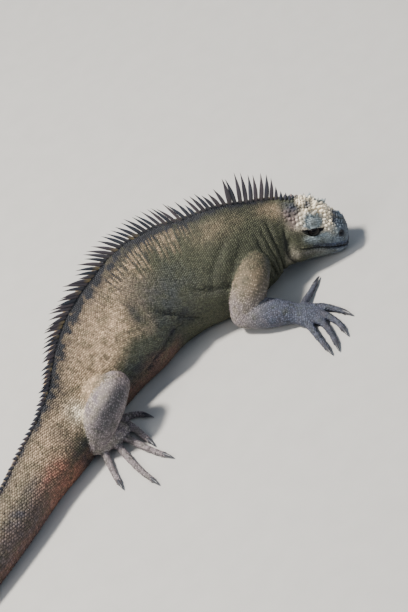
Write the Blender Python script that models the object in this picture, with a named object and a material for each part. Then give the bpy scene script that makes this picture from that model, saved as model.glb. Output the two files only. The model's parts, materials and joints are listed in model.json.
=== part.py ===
"""A marine iguana at rest, life size, as solids that meet face to face.

The animal lies along X with its head at +X, on a floor at Z = 0, its body bent to its
right. Sizes and places below are in millimetres and become metres where a mesh is made.
The body is one smooth surface from the snout to the tip of the tail: a section carried
along the body's axis. Parted lengths of it are the head, neck, torso and tail. Spines,
cone-shaped scales and lids are joined to the length that they grow from.
"""

import math

import bmesh
import bpy
import numpy as np

MM = 0.001
GAP = 0.3
SEED = 11
SHARP = math.radians(62.0)

# The head: the tip of the snout, the way the head points and how far it dips.
SNOUT = np.array([218.0, -31.0, 9.5])
HEAD_HEADING = math.radians(-19.0)
HEAD_DIP = math.radians(25.0)
# Distance behind the snout, half width, height above the axis, depth below it.
HEAD_SECTIONS = np.array([
    [0.0, 3.0, 3.0, 3.0],
    [1.2, 9.5, 9.0, 7.5],
    [4.0, 14.0, 16.0, 10.5],
    [10.0, 17.5, 22.0, 13.0],
    [18.0, 19.5, 27.0, 15.0],
    [28.0, 22.0, 33.5, 17.0],
    [38.0, 25.0, 39.0, 20.0],
    [48.0, 27.5, 41.0, 24.0],
    [58.0, 29.0, 41.0, 28.0],
    [68.0, 30.5, 40.0, 32.0],
])
# Neck, trunk and tail: the axis at x, y, z, then half width, height above, depth below.
BODY_SECTIONS = np.array([
    [143.0, -12.5, 41.0, 35.0, 47.0, 37.0],
    [128.0, -13.0, 44.0, 39.0, 52.5, 43.0],
    [110.0, -13.5, 45.0, 45.0, 59.0, 48.0],
    [90.0, -12.0, 44.0, 49.0, 62.0, 48.0],
    [51.0, -6.0, 43.0, 49.0, 69.0, 48.0],
    [11.0, -9.0, 42.0, 53.0, 70.0, 48.0],
    [-20.0, -21.5, 41.0, 56.0, 66.0, 48.0],
    [-48.0, -40.0, 40.0, 48.0, 61.0, 47.0],
    [-76.0, -67.5, 37.0, 35.0, 53.0, 43.0],
    [-100.0, -97.0, 33.0, 26.5, 45.0, 38.0],
    [-118.5, -113.0, 31.0, 24.5, 40.0, 35.0],
    [-158.0, -138.5, 28.0, 23.5, 32.0, 31.0],
    [-186.0, -162.0, 26.5, 22.5, 28.5, 29.0],
    [-225.0, -193.0, 25.0, 20.0, 25.5, 27.0],
    [-270.0, -224.0, 23.0, 17.5, 23.0, 25.0],
    [-320.0, -250.0, 21.0, 15.0, 21.0, 22.5],
    [-372.0, -266.0, 18.5, 12.5, 18.5, 20.0],
    [-425.0, -270.0, 16.0, 10.5, 16.0, 17.0],
    [-480.0, -262.0, 13.0, 8.5, 13.0, 14.0],
    [-530.0, -246.0, 10.0, 6.5, 10.0, 11.0],
    [-572.0, -226.0, 7.0, 4.5, 7.0, 7.6],
    [-598.0, -210.0, 4.0, 2.4, 4.0, 4.3],
    [-606.0, -204.5, 2.6, 1.2, 1.8, 1.8],
])
# How far the back leans to the left, how roof-like it is and how flat the belly is,
# each at distances behind the snout.
LEAN_AT = [40, 75, 110, 240, 300, 400, 520, 700]
LEAN = [0.04, 0.15, 0.16, 0.14, 0.22, 0.22, 0.12, 0.0]
ROOF_AT = [0, 30, 50, 70, 100, 200, 300, 400, 700]
ROOF = [0.62, 0.8, 0.95, 1.25, 1.55, 1.55, 1.75, 1.7, 1.2]
BELLY_AT = [0, 30, 70, 110, 350, 450]
BELLY = [0.7, 0.7, 0.8, 0.72, 0.72, 0.8]

# Where the body is parted, as distances behind the snout.
NECK_START = 68.0
TORSO_CUTS = [104.0, 193.0, 282.0]
TAIL_CUTS = [372.0, 502.0, 610.0, 716.0, 818.0]

# The eye's centre as distance behind the snout, to the side of the head's axis and above it.
EYE = (36.5, 15.2, 20.2)
EYE_RADIUS = 6.3
NOSTRIL = (8.8, 13.0, 15.0)
# The line of the mouth: distance behind the snout and height above the head's axis.
MOUTH_BACK = [0.0, 3.0, 8.0, 18.0, 34.0, 48.0, 58.0, 68.0]
MOUTH_UP = [-1.0, 0.2, 1.7, 1.9, 4.7, 4.4, 2.0, 1.0]
MOUTH_DEPTH = 2.2
# Where the jaw ends and the neck begins: height above the head's axis, distance behind the snout.
JAW_EDGE_UP = [-22.0, -14.0, -6.0, 4.0, 20.0, 34.0]
JAW_EDGE_BACK = [46.0, 53.0, 59.0, 62.5, 65.0, 66.5]
JAW_EDGE_DEPTH = 2.0
JAW_EDGE_WIDTH = 2.4

# Limbs: points of each length's axis, with half width and half height at each point.
UPPER_ARM = {
    "right": [(120, -47, 48, 17, 18), (110, -62, 43, 17, 18), (98, -65, 31, 15.5, 16), (91, -66, 18, 14, 15)],
    "left": [(118, 4, 44, 15, 16), (114, 24, 39, 15, 16), (100, 37, 31, 14, 15), (84, 48, 19, 13, 14)],
}
FOREARM = {
    "right": [(91, -66, 17, 14, 15), (105, -76, 16, 15.5, 15.5),
              (120, -86, 14, 14, 13.5), (134, -95, 9.5, 11, 9)],
    "left": [(82, 49, 16, 13, 14), (84, 57, 14, 14, 13), (90, 67, 12, 13, 11.5), (100, 78, 9, 10, 8.5)],
}
PALM = {
    "right": [(134, -95, 9, 11, 9), (142, -101, 7.5, 14.5, 7.5), (148, -105, 6, 12.5, 6)],
    "left": [(100, 78, 8.5, 11, 8.5), (107, 82, 7, 14, 7), (113, 85, 6, 12, 6)],
}
THIGH = {
    "right": [(-84, -76, 38, 18, 20), (-76, -92, 43, 18, 19),
              (-64, -100, 49, 17, 17), (-51, -103, 52, 14, 14)],
    "left": [(-100, -56, 38, 20, 22), (-84, -28, 40, 21, 23), (-70, -4, 42, 18, 19), (-58, 16, 44, 15, 15)],
}
SHANK = {
    "right": [(-50, -103, 51, 14, 14), (-63, -114, 48, 18, 17),
              (-78, -119, 37, 18, 17.5), (-92, -121, 22, 13, 14)],
    "left": [(-57, 17, 43, 15, 14), (-66, 22, 36, 15, 14), (-79, 27, 26, 13.5, 13), (-93, 32, 13, 11, 11)],
}
SOLE = {
    "right": [(-93, -121, 17, 12, 13), (-83, -117, 12, 15, 11), (-71, -111, 7.5, 14, 7.5)],
    "left": [(-93, 32, 11, 12, 11), (-83, 36, 8.5, 14, 8.5), (-74, 40, 7, 14, 6.5)],
}
# Digits from the inner to the outer: root x and y, heading at the root and at the tip, length.
FINGERS = {
    "right": [(139, -90, 50, 46, 39), (147, -92, -22, -66, 40), (149, -102, -42, -92, 44),
              (146, -106, -66, -100, 50), (137, -107, -84, -86, 48)],
    "left": [(109, 76, -40, -28, 30), (117, 80, -12, -4, 36), (117, 85, 6, 8, 38),
             (115, 89, 26, 22, 40), (109, 91, 52, 40, 34)],
}
TOES = {
    "right": [(-70, -101, 66, -62, 32), (-61, -105, -66, -76, 38), (-71.5, -113, -70, -56, 65),
              (-78, -116, -88, -70, 78), (-91, -118, -97, -86, 54)],
    "left": [(-77, 46, 70, 40, 24), (-69, 48, 36, 24, 38), (-64, 45, 18, 12, 50),
             (-64, 39, 4, 2, 56), (-72, 32, -12, -14, 42)],
}
# How far a digit's root is sunk in the palm or sole, and its radius at the root and tip.
DIGIT_SUNK = 7.0
DIGIT_ROOT = 4.4
DIGIT_TIP = 3.0
KNUCKLE_LIFT = 2.0
CLAW_LENGTH = 11.0
CLAW_RADIUS = 2.1

SKIN = {
    "head_scales": ((0.42, 0.38, 0.28), 0.75),
    "neck_skin": ((0.24, 0.26, 0.19), 0.7),
    "flank_scales": ((0.36, 0.27, 0.14), 0.65),
    "tail_scales": ((0.22, 0.19, 0.15), 0.7),
    "limb_scales": ((0.27, 0.23, 0.2), 0.7),
    "claw_horn": ((0.05, 0.055, 0.07), 0.4),
    "eye": ((0.03, 0.02, 0.015), 0.15),
}


def head_axes():
    """The head's forward, left and up directions."""
    flat = np.array([math.cos(HEAD_HEADING), math.sin(HEAD_HEADING), 0.0])
    forward = flat * math.cos(HEAD_DIP) - np.array([0.0, 0.0, math.sin(HEAD_DIP)])
    left = np.array([-flat[1], flat[0], 0.0])
    return forward, left, np.cross(forward, left)


def head_point(back, side, up):
    """A point by its distance behind the snout, to the left of the head's axis and above it."""
    forward, left, upward = head_axes()
    return SNOUT - back * forward + side * left + up * upward


def in_head(points):
    """Distance behind the snout, to the left of the head's axis and above it, of each point."""
    forward, left, upward = head_axes()
    offset = points - SNOUT
    return -(offset @ forward), offset @ left, offset @ upward


def smooth(knots, values, at):
    """A cubic through the values, whose slope at each knot comes from the knots beside it."""
    slope = np.gradient(values, knots, axis=0)
    i = np.clip(np.searchsorted(knots, at, side="right") - 1, 0, len(knots) - 2)
    width = (knots[i + 1] - knots[i])[:, None]
    t = (at - knots[i])[:, None] / width
    start = values[i] * (1 + 2 * t) * (1 - t) ** 2 + slope[i] * width * t * (1 - t) ** 2
    end = values[i + 1] * t * t * (3 - 2 * t) + slope[i + 1] * width * t * t * (t - 1)
    return start + end


def body_table():
    """Every station's distance behind the snout, and its axis x, y, z, half width, height, depth."""
    forward = head_axes()[0]
    head = np.column_stack([SNOUT - HEAD_SECTIONS[:, :1] * forward, HEAD_SECTIONS[:, 1:]])
    table = np.vstack([head, BODY_SECTIONS])
    steps = np.linalg.norm(np.diff(table[:, :3], axis=0), axis=1)
    return np.concatenate([[0.0], np.cumsum(steps)]), table


STATION, TABLE = body_table()


def body_frame(s):
    """Each distance's row of the table, and the forward, left and up directions there.

    The directions come from points some way ahead and behind, so that the sections turn
    slowly through the neck and never cross.
    """
    rows = smooth(STATION, TABLE, s)
    step = np.interp(s, [30.0, 72.0], [1.0, 20.0])
    ahead = smooth(STATION, TABLE, np.maximum(s - step, 0.0))[:, :3]
    behind = smooth(STATION, TABLE, np.minimum(s + step, STATION[-1]))[:, :3]
    forward = ahead - behind
    forward /= np.linalg.norm(forward, axis=1, keepdims=True)
    left = np.column_stack([-forward[:, 1], forward[:, 0], np.zeros(len(s))])
    left /= np.linalg.norm(left, axis=1, keepdims=True)
    return rows, forward, left, np.cross(forward, left)


def body_surface(s, around, grow=0.0):
    """Points of the body at distances s and at angles from the middle of the back.

    Across the body a point lies at half width times sine to a power, and above or below
    the axis at height or depth times cosine. A power over 1 gives a back like a roof, one
    under 1 a flat belly. The back leans a little, and the floor flattens what lies on it.
    The angles are one row for all distances, or a row for each.
    """
    rows, forward, left, up = body_frame(s)
    around = np.broadcast_to(around, (len(s), np.shape(around)[-1]))
    sine = np.sin(around)
    cosine = np.cos(around)
    roof = np.interp(s, ROOF_AT, ROOF)[:, None]
    belly = np.interp(s, BELLY_AT, BELLY)[:, None]
    power = np.where(cosine >= 0, roof, belly)
    side = (rows[:, 3:4] + grow) * np.sign(sine) * np.abs(sine) ** power
    high = np.where(cosine >= 0, rows[:, 4:5] + grow, rows[:, 5:6] + grow) * cosine
    side = side + np.interp(s, LEAN_AT, LEAN)[:, None] * np.maximum(high, 0.0)
    points = rows[:, None, :3] + side[..., None] * left[:, None] + high[..., None] * up[:, None]
    points[..., 2] = np.maximum(points[..., 2], -grow)
    return points


def make_object(name, points, faces, tone=None):
    mesh = bpy.data.meshes.new(name)
    mesh.from_pydata((np.asarray(points) * MM).tolist(), [], [list(face) for face in faces])
    mesh.validate()
    if tone:
        mesh.materials.append(tone)
    obj = bpy.data.objects.new(name, mesh)
    bpy.context.scene.collection.objects.link(obj)
    bm = bmesh.new()
    bm.from_mesh(mesh)
    bmesh.ops.recalc_face_normals(bm, faces=bm.faces)
    bmesh.ops.triangulate(bm, faces=bm.faces)
    bm.to_mesh(mesh)
    bm.free()
    return obj


def loft(name, rings, tone=None):
    """A closed solid over rings of points, with a fan over each end."""
    rings = np.asarray(rings)
    count, around = rings.shape[:2]
    points = np.vstack([rings.reshape(-1, 3), rings[0].mean(axis=0), rings[-1].mean(axis=0)])
    j = np.arange(around)
    k = (j + 1) % around
    faces = []
    for first in range(0, (count - 1) * around, around):
        second = first + around
        faces += np.column_stack([first + j, first + k, second + k, second + j]).tolist()
    start_cap = count * around
    last = (count - 1) * around
    faces += np.column_stack([np.full(around, start_cap), k, j]).tolist()
    faces += np.column_stack([np.full(around, start_cap + 1), last + j, last + k]).tolist()
    return make_object(name, points, faces, tone)


def make_tone(name):
    """A material of the given colour and roughness."""
    colour, roughness = SKIN[name]
    tone = bpy.data.materials.new(name)
    tone.use_nodes = True
    shader = tone.node_tree.nodes["Principled BSDF"]
    shader.inputs["Base Color"].default_value = (*colour, 1.0)
    shader.inputs["Roughness"].default_value = roughness
    shader.inputs["Metallic"].default_value = 0.0
    return tone


def combine(target, others, operation="UNION"):
    """Joins the other objects to the target, or cuts them from it, and removes them."""
    group = bpy.data.collections.new("pieces")
    bpy.context.scene.collection.children.link(group)
    for other in others:
        bpy.context.scene.collection.objects.unlink(other)
        group.objects.link(other)
    boolean = target.modifiers.new("combine", "BOOLEAN")
    boolean.operation = operation
    boolean.operand_type = "COLLECTION"
    boolean.collection = group
    bpy.context.view_layer.update()
    graph = bpy.context.evaluated_depsgraph_get()
    made = bpy.data.meshes.new_from_object(target.evaluated_get(graph))
    target.modifiers.clear()
    target.data = made
    for other in others:
        bpy.data.objects.remove(other)
    bpy.data.collections.remove(group)
    keep_largest(target)


def keep_largest(obj):
    """Keeps the largest closed surface of an object, and drops what a union or cut left over."""
    bm = bmesh.new()
    bm.from_mesh(obj.data)
    bmesh.ops.remove_doubles(bm, verts=bm.verts, dist=0.002 * MM)
    bmesh.ops.dissolve_degenerate(bm, edges=bm.edges, dist=0.002 * MM)
    seen = set()
    shells = []
    for start in bm.verts:
        if start in seen:
            continue
        seen.add(start)
        shell = [start]
        for vert in shell:
            for edge in vert.link_edges:
                other = edge.other_vert(vert)
                if other not in seen:
                    seen.add(other)
                    shell.append(other)
        shells.append(shell)
    shells.sort(key=len)
    for shell in shells[:-1]:
        bmesh.ops.delete(bm, geom=shell, context="VERTS")
    bmesh.ops.triangulate(bm, faces=bm.faces)
    bm.to_mesh(obj.data)
    bm.free()


def ring_distances(start, end, spacing):
    """Even distances from just after one cut to just before the next."""
    count = max(int(round((end - start) / spacing)) + 1, 2)
    return np.linspace(start + GAP / 2, end - GAP / 2, count)


def even_angles(around):
    return np.linspace(0.0, 2 * math.pi, around, endpoint=False)


def trunk_distances():
    """The ring distances of the neck, the torso's three lengths and the tail's first."""
    cuts = [NECK_START] + TORSO_CUTS + TAIL_CUTS[:2]
    spacing = [6.5, 11.0, 11.0, 11.0, 15.0]
    return [ring_distances(a, b, step) for a, b, step in zip(cuts, cuts[1:], spacing)]


TRUNK_AROUND = 24
TAIL_AROUND = 12


def grown_trunk():
    """The trunk and the tail's root, larger by the gap, to cut the limbs clear of them."""
    s = np.concatenate([part[:-1] for part in trunk_distances()])
    return loft("grown", body_surface(s, even_angles(TRUNK_AROUND), GAP))


# A spine: how deep its root is sunk, how far it sways to the left, how much its tip curves
# back for each millimetre of height, and its size half way up.
SPINE_SUNK = 2.6
SPINE_SWAY = 0.1
SPINE_BEND = 0.08
SPINE_MIDDLE = 0.72


def spine(rng, s, height, length, width, tilt):
    """A crest spine: a flattened cone of four sides that leans and curves to the tail."""
    s = np.array([s])
    rows, forward, left, up = (part[0] for part in body_frame(s))
    foot = body_surface(s, np.array([0.0]))[0, 0]
    tilt = math.radians(tilt + rng.uniform(-3.0, 3.0))
    sway = SPINE_SWAY + rng.uniform(-0.05, 0.05)
    height = height * rng.uniform(0.9, 1.03)
    axis = up * math.cos(tilt) - forward * math.sin(tilt) + left * sway
    fore = forward * math.cos(tilt) + up * math.sin(tilt)
    bend = -fore * SPINE_BEND * height
    root = foot - axis * SPINE_SUNK
    middle = foot + axis * 0.5 * height
    tip = foot + axis * height + bend
    points = []
    for centre, scale in ((root, 1.0), (middle, SPINE_MIDDLE)):
        for along, across in ((0.5, 0.0), (0.0, 0.5), (-0.5, 0.0), (0.0, -0.5)):
            points.append(centre + scale * (along * length * fore + across * width * left))
    points.append(tip)
    faces = [(3, 2, 1, 0)]
    for j in range(4):
        k = (j + 1) % 4
        faces.append((j, k, 4 + k, 4 + j))
        faces.append((4 + j, 4 + k, 8))
    return make_object("spine", points, faces)


# The crest: distance behind the snout, and the spines' height, length, width, spacing and
# lean. No spine stands nearer than CREST_CLEAR to the front and the rear end of its length.
CREST_CLEAR = (1.8, 0.6)
CREST_AT = [58, 63, 67, 71, 76, 84, 102, 108, 122, 160, 200, 240, 290, 325, 350, 375, 400, 520, 700, 915]
CREST_HEIGHT = [7, 9, 14, 27, 32, 33, 33, 22, 25, 28, 28, 27, 25, 20, 15, 9, 7, 5.5, 4.2, 2.4]
CREST_LENGTH = [2.8, 3, 3.6, 4.2, 4.4, 4.4, 4.4, 4.2, 4.2, 4.2, 4.2, 4.2, 4.2, 4.2, 4, 4, 4, 4, 3.6, 2.6]
CREST_WIDTH = [2.2, 2.4, 2.6, 2.8, 3, 3, 3, 2.8, 2.8, 2.8, 2.8, 2.8, 2.8, 2.6, 2.6, 2.4, 2.4, 2.4, 2, 1.6]
CREST_SPACING = [4.2, 4.4, 4.6, 4.9, 5.1, 5.2, 5.2, 6, 6.6, 6.8, 6.8, 6.8, 6.8, 7, 7.6, 9, 11, 13, 14, 14]
CREST_TILT = [0, -4, -8, -12, -13, -12, -4, 8, 10, 14, 30, 46, 52, 54, 54, 52, 50, 40, 36, 36]


def crest_of(rng, start, end):
    """The spines whose roots lie between two distances behind the snout."""
    spines = []
    s = start
    while s < end:
        length = float(np.interp(s, CREST_AT, CREST_LENGTH))
        if start + 0.6 * length < s < end - 0.6 * length:
            height = float(np.interp(s, CREST_AT, CREST_HEIGHT))
            width = float(np.interp(s, CREST_AT, CREST_WIDTH))
            tilt = float(np.interp(s, CREST_AT, CREST_TILT))
            spines.append(spine(rng, s, height, length, width, tilt))
        s += float(np.interp(s, CREST_AT, CREST_SPACING))
    return spines


def trunk_length(name, s, around, tone, rng):
    """One length of the body with its part of the crest."""
    made = loft(name, body_surface(s, even_angles(around)), tone)
    spines = crest_of(rng, s[0] + CREST_CLEAR[0], s[-1] - CREST_CLEAR[1])
    if spines:
        combine(made, spines)
    return made


def segment_distance(points, line):
    """Each point's distance to a line of straight pieces."""
    nearest = np.full(points.shape[:-1], np.inf)
    for a, b in zip(line, line[1:]):
        a = np.array(a)
        along = np.array(b) - a
        t = np.clip(((points - a) @ along) / (along @ along), 0.0, 1.0)
        nearest = np.minimum(nearest, np.linalg.norm(points - a - t[..., None] * along, axis=-1))
    return nearest


# Swellings and hollows of the head: how far out, radii along, across and up the head, centre.
SWELLINGS = [
    (2.8, (9.5, 7.0, 5.5), (37.5, 15.0, 29.5)),
    (-3.4, (11.0, 8.0, 4.6), (36.5, 20.5, 20.0)),
    (1.3, (4.5, 4.5, 4.5), (8.8, 12.5, 15.0)),
    (-0.8, (4.5, 4.5, 3.5), (20.0, 17.0, 18.0)),
    (1.8, (9.0, 9.0, 9.0), (54.0, 27.0, -6.0)),
    (0.9, (8.0, 8.0, 6.0), (55.0, 20.0, 25.0)),
    (-1.5, (3.4, 6.0, 4.8), (60.0, 27.0, 12.5)),
]
# Ridges of the head: how far out, radius, and the line from back to front.
RIDGES = [
    (1.2, 3.0, [(27.0, 15.5, 26.0), (12.0, 11.5, 20.0)]),
    (1.3, 2.8, [(42.0, 24.0, 14.5), (26.0, 18.5, 15.0), (14.0, 14.5, 17.0)]),
    (0.8, 2.5, [(46.0, 26.0, 10.0), (30.0, 22.0, 8.8), (12.0, 17.5, 6.5)]),
    (0.7, 2.6, [(44.0, 25.0, 1.0), (28.0, 21.0, -0.5), (10.0, 16.5, -1.0)]),
]


def head_relief(points):
    """How far the head's swellings, ridges and hollows stand out at each point."""
    back, side, up = in_head(points)
    place = np.stack([back, np.abs(side), up], axis=-1)
    relief = np.zeros(back.shape)
    for height, radii, centre in SWELLINGS:
        relief += height * np.exp(-(((place - centre) / radii) ** 2).sum(axis=-1))
    for height, radius, line in RIDGES:
        relief += height * np.exp(-(segment_distance(place, line) / radius) ** 2)
    edge = back - np.interp(up, JAW_EDGE_UP, JAW_EDGE_BACK)
    relief -= JAW_EDGE_DEPTH * np.exp(-(edge / JAW_EDGE_WIDTH) ** 2) * np.clip((back - 40.0) / 10.0, 0.0, 1.0)
    return relief * np.clip((NECK_START - back) / 3.0, 0.0, 1.0)


def mouth_angles(s, above, below, lip):
    """A row of angles for each ring of the head, with three of them along each side's mouth."""
    height = smooth(STATION, TABLE, s)[:, 4]
    mouth = np.arccos(np.clip(np.interp(s, MOUTH_BACK, MOUTH_UP) / height, -1.0, 1.0))
    lip = lip / np.maximum(smooth(STATION, TABLE, s)[:, 3], 6.0)
    t = np.linspace(0.0, 1.0, above)
    upper = t * (mouth - lip)[:, None]
    t = np.linspace(0.0, 1.0, below)
    lower = (mouth + lip)[:, None] + t * (math.pi - mouth - lip)[:, None]
    half = np.hstack([upper, mouth[:, None], lower])
    return np.hstack([half, 2 * math.pi - half[:, -2:0:-1]])


def head_rings(s, above=11, below=7, lip=1.5):
    """The head's rings: the body's surface with its relief and the line of the mouth."""
    angles = mouth_angles(s, above, below, lip)
    points = body_surface(s, angles)
    along = np.gradient(points, axis=0)
    across = np.roll(points, -1, axis=1) - np.roll(points, 1, axis=1)
    normal = np.cross(across, along)
    normal /= np.maximum(np.linalg.norm(normal, axis=-1, keepdims=True), 1e-9)
    centre = smooth(STATION, TABLE, s)[:, None, :3]
    outward = np.sign(((points - centre) * normal).sum(axis=-1).mean())
    relief = head_relief(points)
    groove = MOUTH_DEPTH * np.interp(s, [0.0, 1.5, 44.0, 52.0], [0.6, 1.0, 1.0, 0.0])
    count = angles.shape[1]
    relief[:, above] -= groove
    relief[:, count - above] -= groove
    points = points + outward * relief[..., None] * normal
    points[..., 2] = np.maximum(points[..., 2], 0.0)
    return points


def ball(name, centre, radius, tone=None, around=12):
    """A ball of rings from its lowest point to its highest."""
    turn = np.linspace(-math.pi / 2, math.pi / 2, around // 2 + 1)[1:-1]
    angle = even_angles(around)
    ring = np.stack([np.cos(angle), np.sin(angle), np.zeros(around)], axis=-1)
    rings = centre + radius * np.cos(turn)[:, None, None] * ring
    rings[..., 2] += radius * np.sin(turn)[:, None]
    made = loft(name, rings, tone)
    made.data.vertices[-2].co = (centre - np.array([0.0, 0.0, radius])) * MM
    made.data.vertices[-1].co = (centre + np.array([0.0, 0.0, radius])) * MM
    return made


def lid(way, edge, root):
    """An eyelid: a piece of shell round the eyeball, from its free edge to its root.

    The edge and the root are angles above the eye's middle. The edge falls to the middle
    at both corners of the eye, so that the two lids leave an almond-shaped slit.
    """
    forward, left, upward = head_axes()
    centre = head_point(EYE[0], way * EYE[1], EYE[2])
    turn = np.radians(np.linspace(-72.0, 72.0, 7))[:, None]
    rise = np.radians(-3.0 + edge * np.cos(turn) + (root - edge) * np.linspace(0.0, 1.0, 4))
    shape = np.stack([np.sin(turn) * np.cos(rise), np.cos(turn) * np.cos(rise), np.sin(rise)], axis=-1)
    axes = np.array([-forward, way * left, upward])
    shells = []
    for radius in (EYE_RADIUS - 1.5, EYE_RADIUS + 1.5):
        shells.append(centre + radius * shape @ axes)
    rings = np.concatenate([shells[0], shells[1][:, ::-1]], axis=1)
    return loft("lid", rings)


def nostril(way):
    """A tapered pit that runs into the snout, inwards and back."""
    forward, left, upward = head_axes()
    mouth = head_point(NOSTRIL[0], way * NOSTRIL[1], NOSTRIL[2])
    aim = 0.62 * way * left + 0.35 * upward + 0.55 * forward
    aim /= np.linalg.norm(aim)
    path = np.array([mouth - 3.2 * aim, mouth, mouth + 5.0 * aim])
    return loft("nostril", tube_rings(path, [1.2, 2.0, 2.6], [1.0, 1.6, 2.1], 3, 9))


def cone_scale(s, angle, radius, height):
    """A cone-shaped scale of five sides that stands on the head, its root sunk in."""
    step = np.array([s - 1.0, s, s + 1.0])
    near = body_surface(step, np.array([angle - 0.05, angle, angle + 0.05]))
    foot = near[1, 1]
    normal = np.cross(near[1, 2] - near[1, 0], near[2, 1] - near[0, 1])
    normal /= np.linalg.norm(normal)
    normal *= np.sign(normal @ (foot - smooth(STATION, TABLE, np.array([s]))[0, :3]))
    foot = foot + head_relief(foot[None])[0] * normal
    across = np.cross(normal, [0.0, 0.0, 1.0] if abs(normal[2]) < 0.9 else [1.0, 0.0, 0.0])
    across /= np.linalg.norm(across)
    other = np.cross(normal, across)
    turn = even_angles(5)[:, None] + 17.0 * s
    ring = radius * (np.cos(turn) * across + np.sin(turn) * other)
    points = np.vstack([foot - 1.2 * normal + ring, foot + 0.5 * height * normal + 0.7 * ring,
                        foot + height * normal])
    j = np.arange(5)
    k = (j + 1) % 5
    faces = [tuple(j[::-1])] + np.column_stack([j, k, 5 + k, 5 + j]).tolist()
    faces += np.column_stack([5 + j, 5 + k, np.full(5, 10)]).tolist()
    return make_object("scale", points, faces)


def head_scales(rng):
    """Cone-shaped scales over the crown, largest between the eyes, and a patch on each temple."""
    made = []
    for row, s in enumerate(np.arange(13.0, 63.0, 5.6)):
        radius = 1.7 + 0.9 * math.exp(-((s - 34.0) / 15.0) ** 2)
        width = float(np.interp(s, STATION, TABLE[:, 3]))
        spread = float(np.interp(s, [12.0, 30.0, 60.0], [0.55, 0.75, 0.6]))
        pitch = 3.0 * radius / width
        half = int(spread / pitch)
        for column in range(-half, half + 1):
            angle = (column + 0.5 * (row % 2)) * pitch + rng.uniform(-0.15, 0.15) * pitch
            size = radius * rng.uniform(0.85, 1.1)
            place = s + rng.uniform(-0.6, 0.6)
            made.append(cone_scale(place, angle, size, size * rng.uniform(1.5, 1.9)))
    for way in (-1.0, 1.0):
        for s, angle in ((50.5, 0.85), (55.5, 0.72), (61.5, 0.68), (54.0, 0.95), (60.0, 0.9)):
            made.append(cone_scale(s, way * angle, 2.3 * rng.uniform(0.9, 1.1), 3.2))
    return made


def build_head(tones, rng):
    """The head with its lids, scales, mouth and nostrils, and the two eyes in it."""
    front = np.array([0.0, 1.2, 2.8, 4.6, 6.6, 8.8])
    s = np.concatenate([front + 0.15, np.linspace(11.2, NECK_START - GAP / 2, 22)])
    head = loft("head", head_rings(s), tones["head_scales"])
    lids = [lid(way, edge, root) for way in (-1, 1) for edge, root in ((11.0, 72.0), (-16.0, -64.0))]
    combine(head, lids + head_scales(rng))
    cutters = []
    for side, way in (("right", -1), ("left", 1)):
        centre = head_point(EYE[0], way * EYE[1], EYE[2])
        ball(f"eye_{side}", centre, EYE_RADIUS, tones["eye"])
        cutters.append(ball("socket", centre, EYE_RADIUS + GAP))
        cutters.append(nostril(way))
    combine(head, cutters, "DIFFERENCE")


def tube_rings(path, half_width, half_height, count, around, grow=0.0, round_ends=0):
    """Rings along a path: oval sections that stand square to it, flattened by the floor.

    With round_ends each end gets that many shrinking rings, so that it closes like a ball.
    """
    path = np.asarray(path, float)
    knots = np.concatenate([[0.0], np.cumsum(np.linalg.norm(np.diff(path, axis=0), axis=1))])
    s = np.linspace(0.0, knots[-1], count)
    rows = smooth(knots, np.column_stack([path, half_width, half_height]), s)
    tangent = np.gradient(rows[:, :3], s, axis=0)
    tangent /= np.linalg.norm(tangent, axis=1, keepdims=True)
    if round_ends:
        rows, tangent = round_off(rows, tangent, round_ends, grow)
    across = np.column_stack([-tangent[:, 1], tangent[:, 0], np.zeros(len(rows))])
    across /= np.linalg.norm(across, axis=1, keepdims=True)
    upward = np.cross(tangent, across)
    angle = even_angles(around)
    wide = (rows[:, 3:4] + grow) * np.sin(angle)
    high = (rows[:, 4:5] + grow) * np.cos(angle)
    points = rows[:, None, :3] + wide[..., None] * across[:, None] + high[..., None] * upward[:, None]
    points[..., 2] = np.maximum(points[..., 2], -grow)
    return points


def round_off(rows, tangent, round_ends, grow):
    """Adds shrinking rows before the first and after the last."""
    turn = np.linspace(0.0, math.pi / 2, round_ends + 2)[1:-1]
    caps = []
    for end, way in ((0, -1.0), (-1, 1.0)):
        row = rows[end]
        reach = 0.5 * (row[3] + row[4]) + grow
        cap = np.repeat(row[None], round_ends, axis=0)
        cap[:, :3] += way * reach * np.sin(turn)[:, None] * tangent[end]
        cap[:, 3:] = (row[3:] + grow) * np.cos(turn)[:, None] - grow
        caps.append(cap[::-1] if end == 0 else cap)
    rows = np.vstack([caps[0], rows, caps[1]])
    ahead = np.repeat(tangent[:1], round_ends, axis=0)
    behind = np.repeat(tangent[-1:], round_ends, axis=0)
    return rows, np.vstack([ahead, tangent, behind])


LIMB_COUNT = 6
LIMB_AROUND = 11


def limb(name, rows, tone=None, grow=0.0):
    rows = np.asarray(rows, float)
    path, wide, high = rows[:, :3], rows[:, 3], rows[:, 4]
    return loft(name, tube_rings(path, wide, high, LIMB_COUNT, LIMB_AROUND, grow, 2), tone)


def digit_rows(root, heading, end_heading, length):
    """A digit's path over the floor, turning evenly from its first heading to its last."""
    t = np.linspace(0.0, 1.0, 8)
    angle = np.radians(heading + (end_heading - heading) * t[:-1])
    step = length / len(angle)
    x = root[0] + step * np.concatenate([[0.0], np.cumsum(np.cos(angle))])
    y = root[1] + step * np.concatenate([[0.0], np.cumsum(np.sin(angle))])
    radius = DIGIT_ROOT + (DIGIT_TIP - DIGIT_ROOT) * t
    z = radius - 0.25 + KNUCKLE_LIFT * np.sin(math.pi * np.minimum(t * 1.25, 1.0)) ** 2
    return np.column_stack([x, y, z, radius, radius])


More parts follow.
